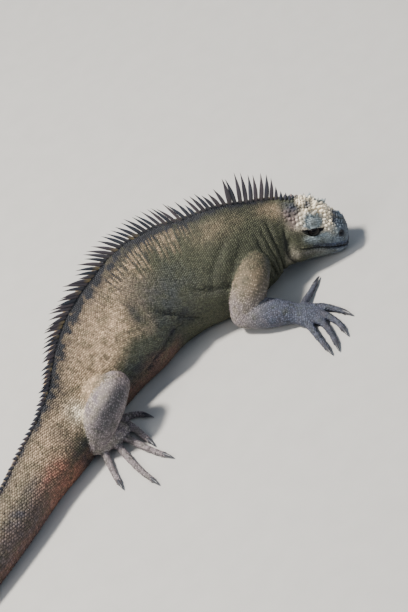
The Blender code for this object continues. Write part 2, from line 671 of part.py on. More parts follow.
def foot(name, sole, digits, tone, claw_tone):
    """The palm or sole with its five digits as one solid, and the five claws."""
    sole = np.asarray(sole, float)
    whole = loft(name, tube_rings(sole[:, :3], sole[:, 3], sole[:, 4], 5, 12, round_ends=2), tone)
    pieces = []
    for number, (x, y, heading, end_heading, length) in enumerate(digits, start=1):
        start = math.radians(heading)
        root = (x - DIGIT_SUNK * math.cos(start), y - DIGIT_SUNK * math.sin(start))
        rows = digit_rows(root, heading, end_heading, length + DIGIT_SUNK)
        pieces.append(loft("digit", tube_rings(rows[:, :3], rows[:, 3], rows[:, 4], 6, 6)))
        last = rows[-1, :2] - rows[-2, :2]
        claw(f"{name}_claw_{number}", rows[-1], math.atan2(last[1], last[0]), claw_tone)
    combine(whole, pieces)
    return whole


def claw(name, end, heading, tone):
    """A claw: a curved cone that starts just past the digit's end and bends to the floor."""
    t = np.linspace(0.0, 0.93, 4)
    reach = 2.0 * GAP + CLAW_LENGTH * t
    path = np.column_stack([
        end[0] + reach * math.cos(heading),
        end[1] + reach * math.sin(heading),
        end[2] + 0.2 - 1.4 * t ** 2 + 3.0 * t ** 2 * (1 - t),
    ])
    radius = CLAW_RADIUS * (1 - t) ** 0.7 + 0.15
    return loft(name, tube_rings(path, radius, radius * 1.15, 4, 5), tone)


def build_limb(side, names, tables, digits, tones):
    """A limb: two lengths and a foot, each cut clear of the trunk and of the one before."""
    tone = tones["limb_scales"]
    upper = limb(f"{names[0]}_{side}", tables[0][side], tone)
    combine(upper, [grown_trunk()], "DIFFERENCE")
    lower = limb(f"{names[1]}_{side}", tables[1][side], tone)
    combine(lower, [grown_trunk(), limb("grown", tables[0][side], grow=GAP)], "DIFFERENCE")
    end = foot(f"{names[2]}_{side}", tables[2][side], digits[side], tone, tones["claw_horn"])
    combine(end, [grown_trunk(), limb("grown", tables[1][side], grow=GAP)], "DIFFERENCE")


def main():
    for obj in list(bpy.data.objects):
        bpy.data.objects.remove(obj)
    tones = {name: make_tone(name) for name in SKIN}
    rng = np.random.default_rng(SEED)
    build_head(tones, rng)
    trunk = trunk_distances()
    trunk_length("neck", trunk[0], TRUNK_AROUND, tones["neck_skin"], rng)
    for name, s in zip(("torso_front", "torso_middle", "torso_rear"), trunk[1:4]):
        trunk_length(name, s, TRUNK_AROUND, tones["flank_scales"], rng)
    trunk_length("tail_1", trunk[4], TRUNK_AROUND, tones["tail_scales"], rng)
    ends = TAIL_CUTS[2:] + [STATION[-1]]
    for number, (start, end) in enumerate(zip(TAIL_CUTS[1:], ends), start=2):
        s = ring_distances(start, end, 15.0)
        trunk_length(f"tail_{number}", s, TAIL_AROUND, tones["tail_scales"], rng)
    for side in ("right", "left"):
        build_limb(side, ("upper_arm", "forearm", "hand"), (UPPER_ARM, FOREARM, PALM), FINGERS, tones)
        build_limb(side, ("thigh", "shank", "foot"), (THIGH, SHANK, SOLE), TOES, tones)
    for obj in bpy.data.objects:
        obj.data.shade_smooth()
        obj.data.set_sharp_from_angle(angle=SHARP)


if __name__ == "__main__":
    main()
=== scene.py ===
# %% [markdown]
# # A marine iguana at rest, life size
#
# A marine iguana dozes, its back arched and bent to one side, its chin on the ground. The
# solids give its outline. This script gives its hide: one closed skin, tens of thousands
# of small raised scales that follow the body, the horny spines of the crest, crusted
# cone-shaped scales on the head, eyes between narrowed lids, and claws.

# %% Set-up
import json
import math

import bmesh
import bpy
import numpy as np
from mathutils import Matrix
from mathutils.bvhtree import BVHTree

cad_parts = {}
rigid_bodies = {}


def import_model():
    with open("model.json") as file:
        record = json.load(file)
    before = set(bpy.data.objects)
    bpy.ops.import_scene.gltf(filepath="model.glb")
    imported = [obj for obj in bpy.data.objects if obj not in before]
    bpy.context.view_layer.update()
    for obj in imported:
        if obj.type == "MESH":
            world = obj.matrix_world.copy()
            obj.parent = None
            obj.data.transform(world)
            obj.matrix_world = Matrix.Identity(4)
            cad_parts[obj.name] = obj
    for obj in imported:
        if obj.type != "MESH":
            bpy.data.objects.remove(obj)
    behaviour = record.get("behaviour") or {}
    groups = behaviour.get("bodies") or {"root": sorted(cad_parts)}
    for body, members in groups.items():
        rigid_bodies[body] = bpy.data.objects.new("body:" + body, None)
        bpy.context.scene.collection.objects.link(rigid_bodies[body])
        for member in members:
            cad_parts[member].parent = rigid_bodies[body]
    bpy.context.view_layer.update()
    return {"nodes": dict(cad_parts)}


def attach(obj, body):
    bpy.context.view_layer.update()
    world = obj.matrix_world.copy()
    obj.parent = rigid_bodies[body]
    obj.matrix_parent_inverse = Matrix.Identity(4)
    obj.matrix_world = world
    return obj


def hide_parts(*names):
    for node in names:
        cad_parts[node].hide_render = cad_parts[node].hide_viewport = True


for startup in list(bpy.data.objects):
    bpy.data.objects.remove(startup)
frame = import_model()
MM = 0.001
rng = np.random.default_rng(23)

# %% [markdown]
# ## The body's measure
#
# On the real animal the head, trunk and tail are one tapering tube over a curved spine.
# It could be sculpted by hand. Here it is a section carried along an axis instead, the
# same one that the solids follow, because every later step can then ask for any place
# on it by two numbers: the distance behind the snout and the angle from the middle of
# the back. All lengths are in millimetres.

# %% The body's sections
SNOUT = np.array([218.0, -31.0, 9.5])
HEAD_HEADING = math.radians(-19.0)
HEAD_DIP = math.radians(25.0)
# Distance behind the snout, half width, height above the axis, depth below it.
HEAD_SECTIONS = np.array([
    [0.0, 3.0, 3.0, 3.0],
    [1.2, 9.5, 9.0, 7.5],
    [4.0, 14.0, 16.0, 10.5],
    [10.0, 17.5, 22.0, 13.0],
    [18.0, 19.5, 27.0, 15.0],
    [28.0, 22.0, 33.5, 17.0],
    [38.0, 25.0, 39.0, 20.0],
    [48.0, 27.5, 41.0, 24.0],
    [58.0, 29.0, 41.0, 28.0],
    [68.0, 30.5, 40.0, 32.0],
])
# The axis at x, y, z, then half width, height above it and depth below it.
BODY_SECTIONS = np.array([
    [143.0, -12.5, 41.0, 35.0, 47.0, 37.0],
    [128.0, -13.0, 44.0, 39.0, 52.5, 43.0],
    [110.0, -13.5, 45.0, 45.0, 59.0, 48.0],
    [90.0, -12.0, 44.0, 49.0, 62.0, 48.0],
    [51.0, -6.0, 43.0, 49.0, 69.0, 48.0],
    [11.0, -9.0, 42.0, 53.0, 70.0, 48.0],
    [-20.0, -21.5, 41.0, 56.0, 66.0, 48.0],
    [-48.0, -40.0, 40.0, 48.0, 61.0, 47.0],
    [-76.0, -67.5, 37.0, 35.0, 53.0, 43.0],
    [-100.0, -97.0, 33.0, 26.5, 45.0, 38.0],
    [-118.5, -113.0, 31.0, 24.5, 40.0, 35.0],
    [-158.0, -138.5, 28.0, 23.5, 32.0, 31.0],
    [-186.0, -162.0, 26.5, 22.5, 28.5, 29.0],
    [-225.0, -193.0, 25.0, 20.0, 25.5, 27.0],
    [-270.0, -224.0, 23.0, 17.5, 23.0, 25.0],
    [-320.0, -250.0, 21.0, 15.0, 21.0, 22.5],
    [-372.0, -266.0, 18.5, 12.5, 18.5, 20.0],
    [-425.0, -270.0, 16.0, 10.5, 16.0, 17.0],
    [-480.0, -262.0, 13.0, 8.5, 13.0, 14.0],
    [-530.0, -246.0, 10.0, 6.5, 10.0, 11.0],
    [-572.0, -226.0, 7.0, 4.5, 7.0, 7.6],
    [-598.0, -210.0, 4.0, 2.4, 4.0, 4.3],
    [-606.0, -204.5, 2.6, 1.2, 1.8, 1.8],
])
# By distance behind the snout: the lean of the back, and the powers of its roof and of the belly.
LEAN_AT = [40, 75, 110, 240, 300, 400, 520, 700]
LEAN = [0.04, 0.15, 0.16, 0.14, 0.22, 0.22, 0.12, 0.0]
ROOF_AT = [0, 30, 50, 70, 100, 200, 300, 400, 700]
ROOF = [0.62, 0.8, 0.95, 1.25, 1.55, 1.55, 1.75, 1.7, 1.2]
BELLY_AT = [0, 30, 70, 110, 350, 450]
BELLY = [0.7, 0.7, 0.8, 0.72, 0.72, 0.8]
# Places in the head: distance behind the snout, to the side of the head's axis and above it.
EYE = np.array([36.5, 15.2, 20.2])
EYE_RADIUS = 6.3
BROW = np.array([37.5, 14.5, 30.0])
NOSTRIL = np.array([8.8, 13.2, 15.2])
EAR = np.array([60.0, 27.0, 12.5])
# The mouth's line, height by distance, and the jaw's rear edge, distance by height.
MOUTH_BACK = [0.0, 3.0, 8.0, 18.0, 34.0, 48.0, 58.0, 68.0]
MOUTH_UP = [-1.0, 0.2, 1.7, 1.9, 4.7, 4.4, 2.0, 1.0]
JAW_EDGE_UP = [-22.0, -14.0, -6.0, 4.0, 20.0, 34.0]
JAW_EDGE_BACK = [46.0, 53.0, 59.0, 62.5, 65.0, 66.5]
# The skin lies this deep under the measured surface, which leaves room for its scales.
COAT = 0.55


def head_axes():
    """The head's forward, left and up directions, from its heading and its dip."""
    flat = np.array([math.cos(HEAD_HEADING), math.sin(HEAD_HEADING), 0.0])
    forward = flat * math.cos(HEAD_DIP) - np.array([0.0, 0.0, math.sin(HEAD_DIP)])
    left = np.array([-flat[1], flat[0], 0.0])
    return forward, left, np.cross(forward, left)


def in_head(points):
    """Each point as distance behind the snout, to the side of the head's axis and above it."""
    forward, left, upward = head_axes()
    offset = points - SNOUT
    return np.stack([-(offset @ forward), np.abs(offset @ left), offset @ upward], axis=-1)


def from_head(place, way):
    """The point at a place in the head, on its right where way is -1."""
    forward, left, upward = head_axes()
    return SNOUT - place[0] * forward + way * place[1] * left + place[2] * upward


def smooth(knots, values, at):
    """A cubic between each two values, whose slope at a knot comes from the knots beside it."""
    slope = np.gradient(values, knots, axis=0)
    i = np.clip(np.searchsorted(knots, at, side="right") - 1, 0, len(knots) - 2)
    width = (knots[i + 1] - knots[i])[:, None]
    t = (at - knots[i])[:, None] / width
    start = values[i] * (1 + 2 * t) * (1 - t) ** 2 + slope[i] * width * t * (1 - t) ** 2
    end = values[i + 1] * t * t * (3 - 2 * t) + slope[i + 1] * width * t * t * (t - 1)
    return start + end


head_rows = np.column_stack([SNOUT - HEAD_SECTIONS[:, :1] * head_axes()[0], HEAD_SECTIONS[:, 1:]])
TABLE = np.vstack([head_rows, BODY_SECTIONS])
STATION = np.concatenate([[0.0], np.cumsum(np.linalg.norm(np.diff(TABLE[:, :3], axis=0), axis=1))])


def body_frame(s):
    """Rows of the table at distances s, with the forward, left and up directions there.

    Forward points from a step behind to a step ahead. The step is 1 mm on the head and
    grows to 20 mm on the body, where it evens out the bends.
    """
    rows = smooth(STATION, TABLE, s)
    step = np.interp(s, [30.0, 72.0], [1.0, 20.0])
    ahead = smooth(STATION, TABLE, np.maximum(s - step, 0.0))[:, :3]
    behind = smooth(STATION, TABLE, np.minimum(s + step, STATION[-1]))[:, :3]
    forward = ahead - behind
    forward /= np.linalg.norm(forward, axis=1, keepdims=True)
    left = np.column_stack([-forward[:, 1], forward[:, 0], np.zeros(len(s))])
    left /= np.linalg.norm(left, axis=1, keepdims=True)
    return rows, forward, left, np.cross(forward, left)


def body_surface(s, around, grow):
    """Points at distances s and angles around from the middle of the back.

    To the side a point lies at the half width times the sine to a power, and up or down at
    the height or depth times the cosine. A power over 1 makes the back a roof, and one
    under 1 a flat belly. The side also shifts with height, as the back leans. Nothing goes
    lower than the floor. Every size is larger by grow.
    """
    rows, forward, left, up = body_frame(s)
    around = np.broadcast_to(around, (len(s), np.shape(around)[-1]))
    sine = np.sin(around)
    cosine = np.cos(around)
    roof = np.interp(s, ROOF_AT, ROOF)[:, None]
    belly = np.interp(s, BELLY_AT, BELLY)[:, None]
    power = np.where(cosine >= 0, roof, belly)
    side = (rows[:, 3:4] + grow) * np.sign(sine) * np.abs(sine) ** power
    high = np.where(cosine >= 0, rows[:, 4:5] + grow, rows[:, 5:6] + grow) * cosine
    side = side + np.interp(s, LEAN_AT, LEAN)[:, None] * np.maximum(high, 0.0)
    points = rows[:, None, :3] + side[..., None] * left[:, None] + high[..., None] * up[:, None]
    points[..., 2] = np.maximum(points[..., 2], -grow)
    return points


print("length along the axis from snout to tip of tail", round(STATION[-1] * MM, 3), "m")

# %% [markdown]
# ## Limbs
#
# Each limb is an upper length, a lower length, a palm or sole and five digits. The real
# ones are muscle over bone, thick near the body and waisted at the joints. They are tubes
# along a few measured points, with knuckles as slow swellings of the digits.

# %% The limbs' paths
# Points of each length's axis with half width and half height.
LENGTHS = {
    "arm_right": [
        [(120, -47, 48, 17, 18), (110, -62, 43, 17, 18), (98, -65, 31, 15.5, 16), (91, -66, 18, 14, 15)],
        [(91, -66, 17, 14, 15), (105, -76, 16, 15.5, 15.5), (120, -86, 14, 14, 13.5),
         (134, -95, 9.5, 11, 9)],
        [(134, -95, 9, 11, 9), (142, -101, 7.5, 14.5, 7.5), (148, -105, 6, 12.5, 6)],
    ],
    "arm_left": [
        [(118, 4, 44, 15, 16), (114, 24, 39, 15, 16), (100, 37, 31, 14, 15), (84, 48, 19, 13, 14)],
        [(82, 49, 16, 13, 14), (84, 57, 14, 14, 13), (90, 67, 12, 13, 11.5), (100, 78, 9, 10, 8.5)],
        [(100, 78, 8.5, 11, 8.5), (107, 82, 7, 14, 7), (113, 85, 6, 12, 6)],
    ],
    "leg_right": [
        [(-84, -76, 38, 18, 20), (-76, -92, 43, 18, 19), (-64, -100, 49, 17, 17), (-51, -103, 52, 14, 14)],
        [(-50, -103, 51, 14, 14), (-63, -114, 48, 18, 17), (-78, -119, 37, 18, 17.5),
         (-92, -121, 22, 13, 14)],
        [(-93, -121, 17, 12, 13), (-83, -117, 12, 15, 11), (-71, -111, 7.5, 14, 7.5)],
    ],
    "leg_left": [
        [(-100, -56, 38, 20, 22), (-84, -28, 40, 21, 23), (-70, -4, 42, 18, 19), (-58, 16, 44, 15, 15)],
        [(-57, 17, 43, 15, 14), (-66, 22, 36, 15, 14), (-79, 27, 26, 13.5, 13), (-93, 32, 13, 11, 11)],
        [(-93, 32, 11, 12, 11), (-83, 36, 8.5, 14, 8.5), (-74, 40, 7, 14, 6.5)],
    ],
}
# Digits from the inner to the outer: root x and y, heading at root and at tip, length.
DIGITS = {
    "arm_right": [(139, -90, 50, 46, 39), (147, -92, -22, -66, 40), (149, -102, -42, -92, 44),
                  (146, -106, -66, -100, 50), (137, -107, -84, -86, 48)],
    "arm_left": [(109, 76, -40, -28, 30), (117, 80, -12, -4, 36), (117, 85, 6, 8, 38),
                 (115, 89, 26, 22, 40), (109, 91, 52, 40, 34)],
    "leg_right": [(-70, -101, 66, -62, 32), (-61, -105, -66, -76, 38), (-71.5, -113, -70, -56, 65),
                  (-78, -116, -88, -70, 78), (-91, -118, -97, -86, 54)],
    "leg_left": [(-77, 46, 70, 40, 24), (-69, 48, 36, 24, 38), (-64, 45, 18, 12, 50),
                 (-64, 39, 4, 2, 56), (-72, 32, -12, -14, 42)],
}
# How far inside the palm or sole a digit's axis starts.
SUNK = 7.0
# Distances along a limb count from LIMB_START, so that one array holds them beside the
# trunk's. Each length has LENGTH_SPAN of them, and the digits share the last span.
LIMB_START = 1000.0
LENGTH_SPAN = 50.0
DIGIT_START = 1160.0
LIMB_SPAN = DIGIT_START + LENGTH_SPAN - LIMB_START


def tube(rows, count, around, grow, caps):
    """Rings along a path, square to it: half width times sine to the side, half height times
    cosine upwards. Each end closes with rings that shrink by the cosine of an even turn."""
    rows = np.asarray(rows, float)
    knots = np.concatenate([[0.0], np.cumsum(np.linalg.norm(np.diff(rows[:, :3], axis=0), axis=1))])
    s = np.linspace(0.0, knots[-1], count)
    rows = smooth(knots, rows, s)
    tangent = np.gradient(rows[:, :3], s, axis=0)
    tangent /= np.linalg.norm(tangent, axis=1, keepdims=True)
    turn = np.linspace(0.0, math.pi / 2, caps + 2)[1:-1, None]

    def cap(end, way):
        made = np.repeat(rows[end][None], caps, axis=0)
        reach = 0.5 * (rows[end][3] + rows[end][4]) + grow
        made[:, :3] += way * reach * np.sin(turn) * tangent[end]
        made[:, 3:] = (rows[end][3:] + grow) * np.cos(turn) - grow
        return made

    rows = np.vstack([cap(0, -1.0)[::-1], rows, cap(-1, 1.0)])
    tangent = np.pad(tangent, ((caps, caps), (0, 0)), mode="edge")
    across = np.column_stack([-tangent[:, 1], tangent[:, 0], np.zeros(len(rows))])
    across /= np.linalg.norm(across, axis=1, keepdims=True)
    upward = np.cross(tangent, across)
    angle = np.linspace(0.0, 2 * math.pi, around, endpoint=False)
    wide = (rows[:, 3:4] + grow) * np.sin(angle)
    high = (rows[:, 4:5] + grow) * np.cos(angle)
    points = rows[:, None, :3] + wide[..., None] * across[:, None] + high[..., None] * upward[:, None]
    points[..., 2] = np.maximum(points[..., 2], -grow)
    return points


def digit_rows(root_x, root_y, heading, end_heading, length):
    """A digit's axis over the floor: it starts inside the palm and turns evenly from its first
    heading to its last. It arches by up to 2 mm. Its radius shrinks from 4.4 to 3 mm and
    swells a little at three knuckles."""
    start = math.radians(heading)
    steps = 24
    t = np.linspace(0.0, 1.0, steps + 1)
    angle = np.radians(heading + (end_heading - heading) * t[:-1])
    step = (length + SUNK) / steps
    x = root_x - SUNK * math.cos(start) + step * np.concatenate([[0.0], np.cumsum(np.cos(angle))])
    y = root_y - SUNK * math.sin(start) + step * np.concatenate([[0.0], np.cumsum(np.sin(angle))])
    radius = 4.4 - 1.4 * t
    z = radius - 0.25 + 2.0 * np.sin(math.pi * np.minimum(t * 1.25, 1.0)) ** 2
    radius = radius * (0.95 + 0.1 * np.cos(2 * math.pi * 3.0 * t) ** 2)
    return np.column_stack([x, y, z, radius, radius])


digit_axes = {name: [digit_rows(*digit) for digit in digits] for name, digits in DIGITS.items()}
print("limbs", len(LENGTHS), "digits", sum(len(digits) for digits in digit_axes.values()))

# %% [markdown]
# ## Making pieces
#
# Small helpers turn grids of points into meshes, so that each step below is about its
# shape alone.

# %% Helpers


def grid_faces(count, around, first=0):
    """Four-cornered faces over rings of points that are closed around, facing outwards."""
    i = np.arange(count - 1)[:, None] * around
    j = np.arange(around)[None]
    k = (j + 1) % around
    return first + np.stack([i + j, i + k, i + around + k, i + around + j], axis=-1).reshape(-1, 4)


def closed_grid(rings, first=0):
    """Points of the rings with one more at the middle of each end, and the faces over them."""
    count, around = rings.shape[:2]
    points = np.vstack([rings.reshape(-1, 3), rings[0].mean(axis=0), rings[-1].mean(axis=0)])
    j = np.arange(around)
    k = (j + 1) % around
    start = first + count * around
    last = first + (count - 1) * around
    fans = np.vstack([
        np.column_stack([np.full(around, start), first + k, first + j]),
        np.column_stack([np.full(around, start + 1), last + j, last + k]),
    ])
    return points, [grid_faces(count, around, first), fans]


def fill_mesh(name, points, groups):
    """A mesh from points in millimetres and groups of faces that have the same corner count."""
    corners = np.concatenate([group.ravel() for group in groups])
    sizes = np.concatenate([np.full(len(group), group.shape[1]) for group in groups])
    mesh = bpy.data.meshes.new(name)
    mesh.vertices.add(len(points))
    mesh.vertices.foreach_set("co", (points * MM).astype(np.float32).ravel())
    mesh.loops.add(len(corners))
    mesh.loops.foreach_set("vertex_index", corners.astype(np.int32))
    mesh.polygons.add(len(sizes))
    mesh.polygons.foreach_set("loop_start", (np.cumsum(sizes) - sizes).astype(np.int32))
    mesh.update(calc_edges=True)
    mesh.validate()
    return mesh


print("mesh helpers ready")

# %% Helpers for objects and layers


def link_object(name, data):
    """A new object at the origin, in the scene."""
    made = bpy.data.objects.new(name, data)
    bpy.context.scene.collection.objects.link(made)
    return made


def add_piece(name, mesh, material):
    """A smooth object at the origin that goes with the model's one rigid body."""
    mesh.name = name
    mesh.materials.clear()
    mesh.materials.append(material)
    mesh.polygons.foreach_set("use_smooth", np.ones(len(mesh.polygons), bool))
    piece = link_object(name, mesh)
    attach(piece, "root")
    mesh.calc_loop_triangles()
    print(name, len(mesh.loop_triangles), "triangles")
    return piece


def vertex_places(mesh):
    """The mesh's points in millimetres and its normals, as arrays."""
    points = np.empty(len(mesh.vertices) * 3, np.float32)
    mesh.vertices.foreach_get("co", points)
    normals = np.empty(len(mesh.vertices) * 3, np.float32)
    mesh.vertex_normals.foreach_get("vector", normals)
    return points.reshape(-1, 3).astype(float) / MM, normals.reshape(-1, 3).astype(float)


def set_places(mesh, points):
    """Moves the mesh's points to places in millimetres."""
    mesh.vertices.foreach_set("co", (points * MM).astype(np.float32).ravel())
    mesh.update()


def corner_points(mesh):
    """The number of the point at every corner of every face."""
    corners = np.empty(len(mesh.loops), np.int32)
    mesh.loops.foreach_get("vertex_index", corners)
    return corners


def set_colours(mesh, name, columns):
    """Keeps three values for each point as a colour layer, which the materials read."""
    values = np.column_stack([*columns, np.ones(len(mesh.vertices))])
    layer = mesh.attributes.new(name, "FLOAT_COLOR", "POINT")
    layer.data.foreach_set("color", values.astype(np.float32).ravel())


def set_bake_map(mesh, spots):
    """Gives every point its spot on the OFBake map, on which the materials can be baked."""
    layer = mesh.uv_layers.new(name="OFBake")
    layer.uv.foreach_set("vector", spots[corner_points(mesh)].astype(np.float32).ravel())


print("object and layer helpers ready")

# %% Helpers for search and soft steps


def tree_of(mesh):
    """A search tree over a mesh's faces, in metres."""
    points = np.empty(len(mesh.vertices) * 3, np.float32)
    mesh.vertices.foreach_get("co", points)
    starts = np.empty(len(mesh.polygons), np.int32)
    mesh.polygons.foreach_get("loop_start", starts)
    faces = [face.tolist() for face in np.split(corner_points(mesh), starts[1:])]
    return BVHTree.FromPolygons(points.reshape(-1, 3).tolist(), faces)


def nearest(tree, points):
    """The nearest place on a search tree, its normal, its face and its distance, in millimetres."""
    found = [tree.find_nearest(point) for point in (points * MM).tolist()]
    places = np.array([hit[0][:] for hit in found]) / MM
    normals = np.array([hit[1][:] for hit in found])
    far = np.array([hit[3] for hit in found]) / MM
    return places, normals, np.array([hit[2] for hit in found]), far


def ease(x, low, high):
    """0 below low, 1 above high, and a smooth step between."""
    t = np.clip((x - low) / (high - low), 0.0, 1.0)
    return t * t * (3 - 2 * t)


def fade(x, low, high):
    """1 below low, 0 above high, and a smooth step between."""
    return 1.0 - ease(x, low, high)


def bump(x, middle, width):
    """A bell curve of height 1."""
    return np.exp(-((x - middle) / width) ** 2)


def from_back(angle):
    """The angle from the middle of the back, alike on both sides."""
    return np.minimum(angle, 2 * math.pi - angle)


print("search and curve helpers ready")

# %% [markdown]
# ## One skin
#
# The real hide has no seam where a limb leaves the trunk: it stretches and folds. The
# tubes of trunk and limbs are melted into one closed surface by a voxel remesh, which
# rounds each join as a stretched skin would, and then relaxed.

# %% Trunk and limbs as one surface
VOXEL = 2.1
DIGIT_COAT = 0.3
# Rings stand closest on the head and widest apart on the tail.
trunk_s = np.concatenate([
    [0.05, 0.4, 0.9],
    np.arange(1.6, 70.0, 0.9),
    np.arange(70.0, 400.0, 2.2),
    np.arange(402.0, 899.0, 4.0),
    [STATION[-1]],
])
trunk_angles = np.linspace(0.0, 2 * math.pi, 168, endpoint=False)
trunk_rings = body_surface(trunk_s, trunk_angles, -COAT)
SURFACES = [("trunk", trunk_rings, trunk_s)]
for limb_name, lengths in LENGTHS.items():
    for number, rows in enumerate(lengths):
        rings = tube(rows, count=26, around=44, grow=-COAT, caps=6)
        along = LIMB_START + number * LENGTH_SPAN + np.linspace(0.0, LENGTH_SPAN, len(rings))
        SURFACES.append((limb_name, rings, along))
    for rows in digit_axes[limb_name]:
        rings = tube(rows, count=26, around=20, grow=-DIGIT_COAT, caps=3)
        SURFACES.append((limb_name, rings, DIGIT_START + np.linspace(0.0, LENGTH_SPAN, len(rings))))
part_names = ["trunk"] + list(LENGTHS)
print("surfaces", len(SURFACES))

# %% All surfaces in one mesh
# Every face keeps its part, its distance along and its angle, for the skin to look up.
all_points = []
all_groups = []
face_part = []
face_along = []
face_angle = []
first = 0
for part_name, rings, along in SURFACES:
    points, groups = closed_grid(rings, first)
    count, around = rings.shape[:2]
    angle = (np.arange(around) + 0.5) / around * 2 * math.pi
    face_part += [np.full(len(groups[0]) + len(groups[1]), part_names.index(part_name))]
    face_along += [np.repeat(0.5 * (along[1:] + along[:-1]), around), np.repeat(along[[0, -1]], around)]
    face_angle += [np.tile(angle, count - 1), np.tile(angle, 2)]
    all_points.append(points)
    all_groups += groups
    first += len(points)
face_part = np.concatenate(face_part)
face_along = np.concatenate(face_along)
face_angle = np.concatenate(face_angle)
exact_mesh = fill_mesh("exact", np.vstack(all_points), all_groups)
exact_tree = tree_of(exact_mesh)
print("exact surface", len(exact_mesh.polygons), "faces")

# %% Melted into one skin
melt = link_object("melt", exact_mesh)
remesh = melt.modifiers.new("one surface", "REMESH")
remesh.mode = "VOXEL"
remesh.voxel_size = VOXEL * MM
relax = melt.modifiers.new("relax", "SMOOTH")
relax.factor = 0.5
relax.iterations = 3
graph = bpy.context.evaluated_depsgraph_get()
skin_mesh = bpy.data.meshes.new_from_object(melt.evaluated_get(graph))
bpy.data.objects.remove(melt)
print("skin after the remesh", len(skin_mesh.polygons), "faces")

# %% [markdown]
# ## The head's form
#
# The head gets the most care. Its skin is drawn tight over the skull: a heavy brow over
# each eye, a ridge from eye to nostril, a swollen rear jaw, lips along the mouth, an ear
# drum set in a shallow dish, and a deep fold where the jaw meets the neck. The skin is
# first given finer faces there and laid exactly on the measured form, then pushed in and
# out along its normals by sums of bell curves, so each feature keeps its own size. The
# lids are a ball a little larger than the eye, with a narrow slit.

# %% Finer faces on the head


def refine(mesh, chosen):
    """Divides every edge in two whose ends are both chosen."""
    bm = bmesh.new()
    bm.from_mesh(mesh)
    bm.verts.ensure_lookup_table()
    flags = chosen.tolist()
    edges = [edge for edge in bm.edges if all(flags[vert.index] for vert in edge.verts)]
    bmesh.ops.subdivide_edges(bm, edges=edges, cuts=1, use_grid_fill=True)
    bm.to_mesh(mesh)
    bm.free()


places, normals = vertex_places(skin_mesh)
head_place = in_head(places)
near_head = (places[:, 0] > 130.0) & (np.abs(places[:, 1] + 25.0) < 60.0)
refine(skin_mesh, near_head & (head_place[:, 0] < 74.0))

# The side of the face and the tip of the snout get finer faces still.
places, normals = vertex_places(skin_mesh)
head_place = in_head(places)
fine = (head_place[:, 0] < 48.0) & (places[:, 0] > 130.0)
fine &= (head_place[:, 2] > -9.0) & (head_place[:, 2] < 29.0) & (head_place[:, 1] > 5.0)
fine |= (head_place[:, 0] < 12.0) & (head_place[:, 2] < 10.0) & (head_place[:, 2] > -8.0)
refine(skin_mesh, fine)

places, normals = vertex_places(skin_mesh)
skin_places, skin_normals, skin_faces, skin_far = nearest(exact_tree, places)
skin_part = face_part[skin_faces]
skin_s = face_along[skin_faces]
skin_angle = face_angle[skin_faces]
on_head = (skin_part == 0) & (skin_s < 72.0) & (skin_far < 1.5)
hold = np.where(on_head, fade(skin_s, 60.0, 70.0), 0.0)[:, None]
places = places + hold * (skin_places - places)
set_places(skin_mesh, places)
places, normals = vertex_places(skin_mesh)
print("skin with a finer head", len(places), "points")

# %% The head's swellings, folds, lips, lids and nostrils
# How far out, the radii along, across and up the head, and the centre: brow, eye socket,
# nostril's rim, hollow behind it, jaw muscle, temple and ear.
SWELLINGS = [
    (2.9, (9.0, 7.0, 5.0), (37.5, 14.5, 30.5)),
    (-3.2, (12.0, 8.0, 4.4), (36.5, 21.0, 20.4)),
    (0.9, (4.5, 4.5, 4.5), (8.8, 12.5, 15.0)),
    (-0.8, (4.5, 4.5, 3.5), (20.0, 17.0, 18.0)),
    (1.8, (9.0, 9.0, 9.0), (54.0, 27.0, -6.0)),
    (0.9, (8.0, 8.0, 6.0), (55.0, 20.0, 25.0)),
    (-1.7, (3.4, 6.0, 4.8), EAR),
]
UNDER_EYE = [(44.0, 24.0, 14.5), (26.0, 18.5, 15.0), (14.0, 14.5, 17.2)]
# How far out, the radius, and a line from back to front: from the brow to the nostril, under
# the eye, over the upper lip and under the lower one.
RIDGES = [
    (1.2, 2.8, [(27.0, 15.5, 26.0), (12.0, 11.5, 20.0)]),
    (1.5, 2.2, UNDER_EYE),
    (0.8, 2.2, [(46.0, 26.0, 10.0), (30.0, 22.0, 8.8), (12.0, 17.5, 6.5)]),
    (0.7, 2.4, [(44.0, 25.0, 1.0), (28.0, 21.0, -0.5), (10.0, 16.5, -1.0)]),
]
# The lens round the eye, painted dark as dark lid skin under painted shade from the brow: its middle behind
# the snout, half length, top and depth.
EYE_LENS = (36.4, 11.8, 22.3, 5.6)
LENS_SINK = 1.6
MOUTH_DEPTH = 2.3


def segment_distance(points, line):
    """Each point's distance to a line of straight pieces."""
    far = np.full(points.shape[:-1], np.inf)
    for a, b in zip(line, line[1:]):
        a = np.array(a)
        along = np.array(b) - a
        t = np.clip(((points - a) @ along) / (along @ along), 0.0, 1.0)
        far = np.minimum(far, np.linalg.norm(points - a - t[..., None] * along, axis=-1))
    return far


def in_lens(place):
    """How far inside the lens round the eye each place is, seen from the side. The lens has a
    straight top and an arc below."""
    middle, half, top, depth = EYE_LENS
    share = (place[..., 0] - middle) / half
    under = place[..., 2] - (top - depth * (1.0 - share ** 2))
    return np.minimum(top + 0.7 - place[..., 2], under) - 9.0 * (place[..., 1] < 9.0)


def mouth_height(place):
    """How far above the line of the mouth each place in the head is."""
    return place[..., 2] - np.interp(place[..., 0], MOUTH_BACK, MOUTH_UP)


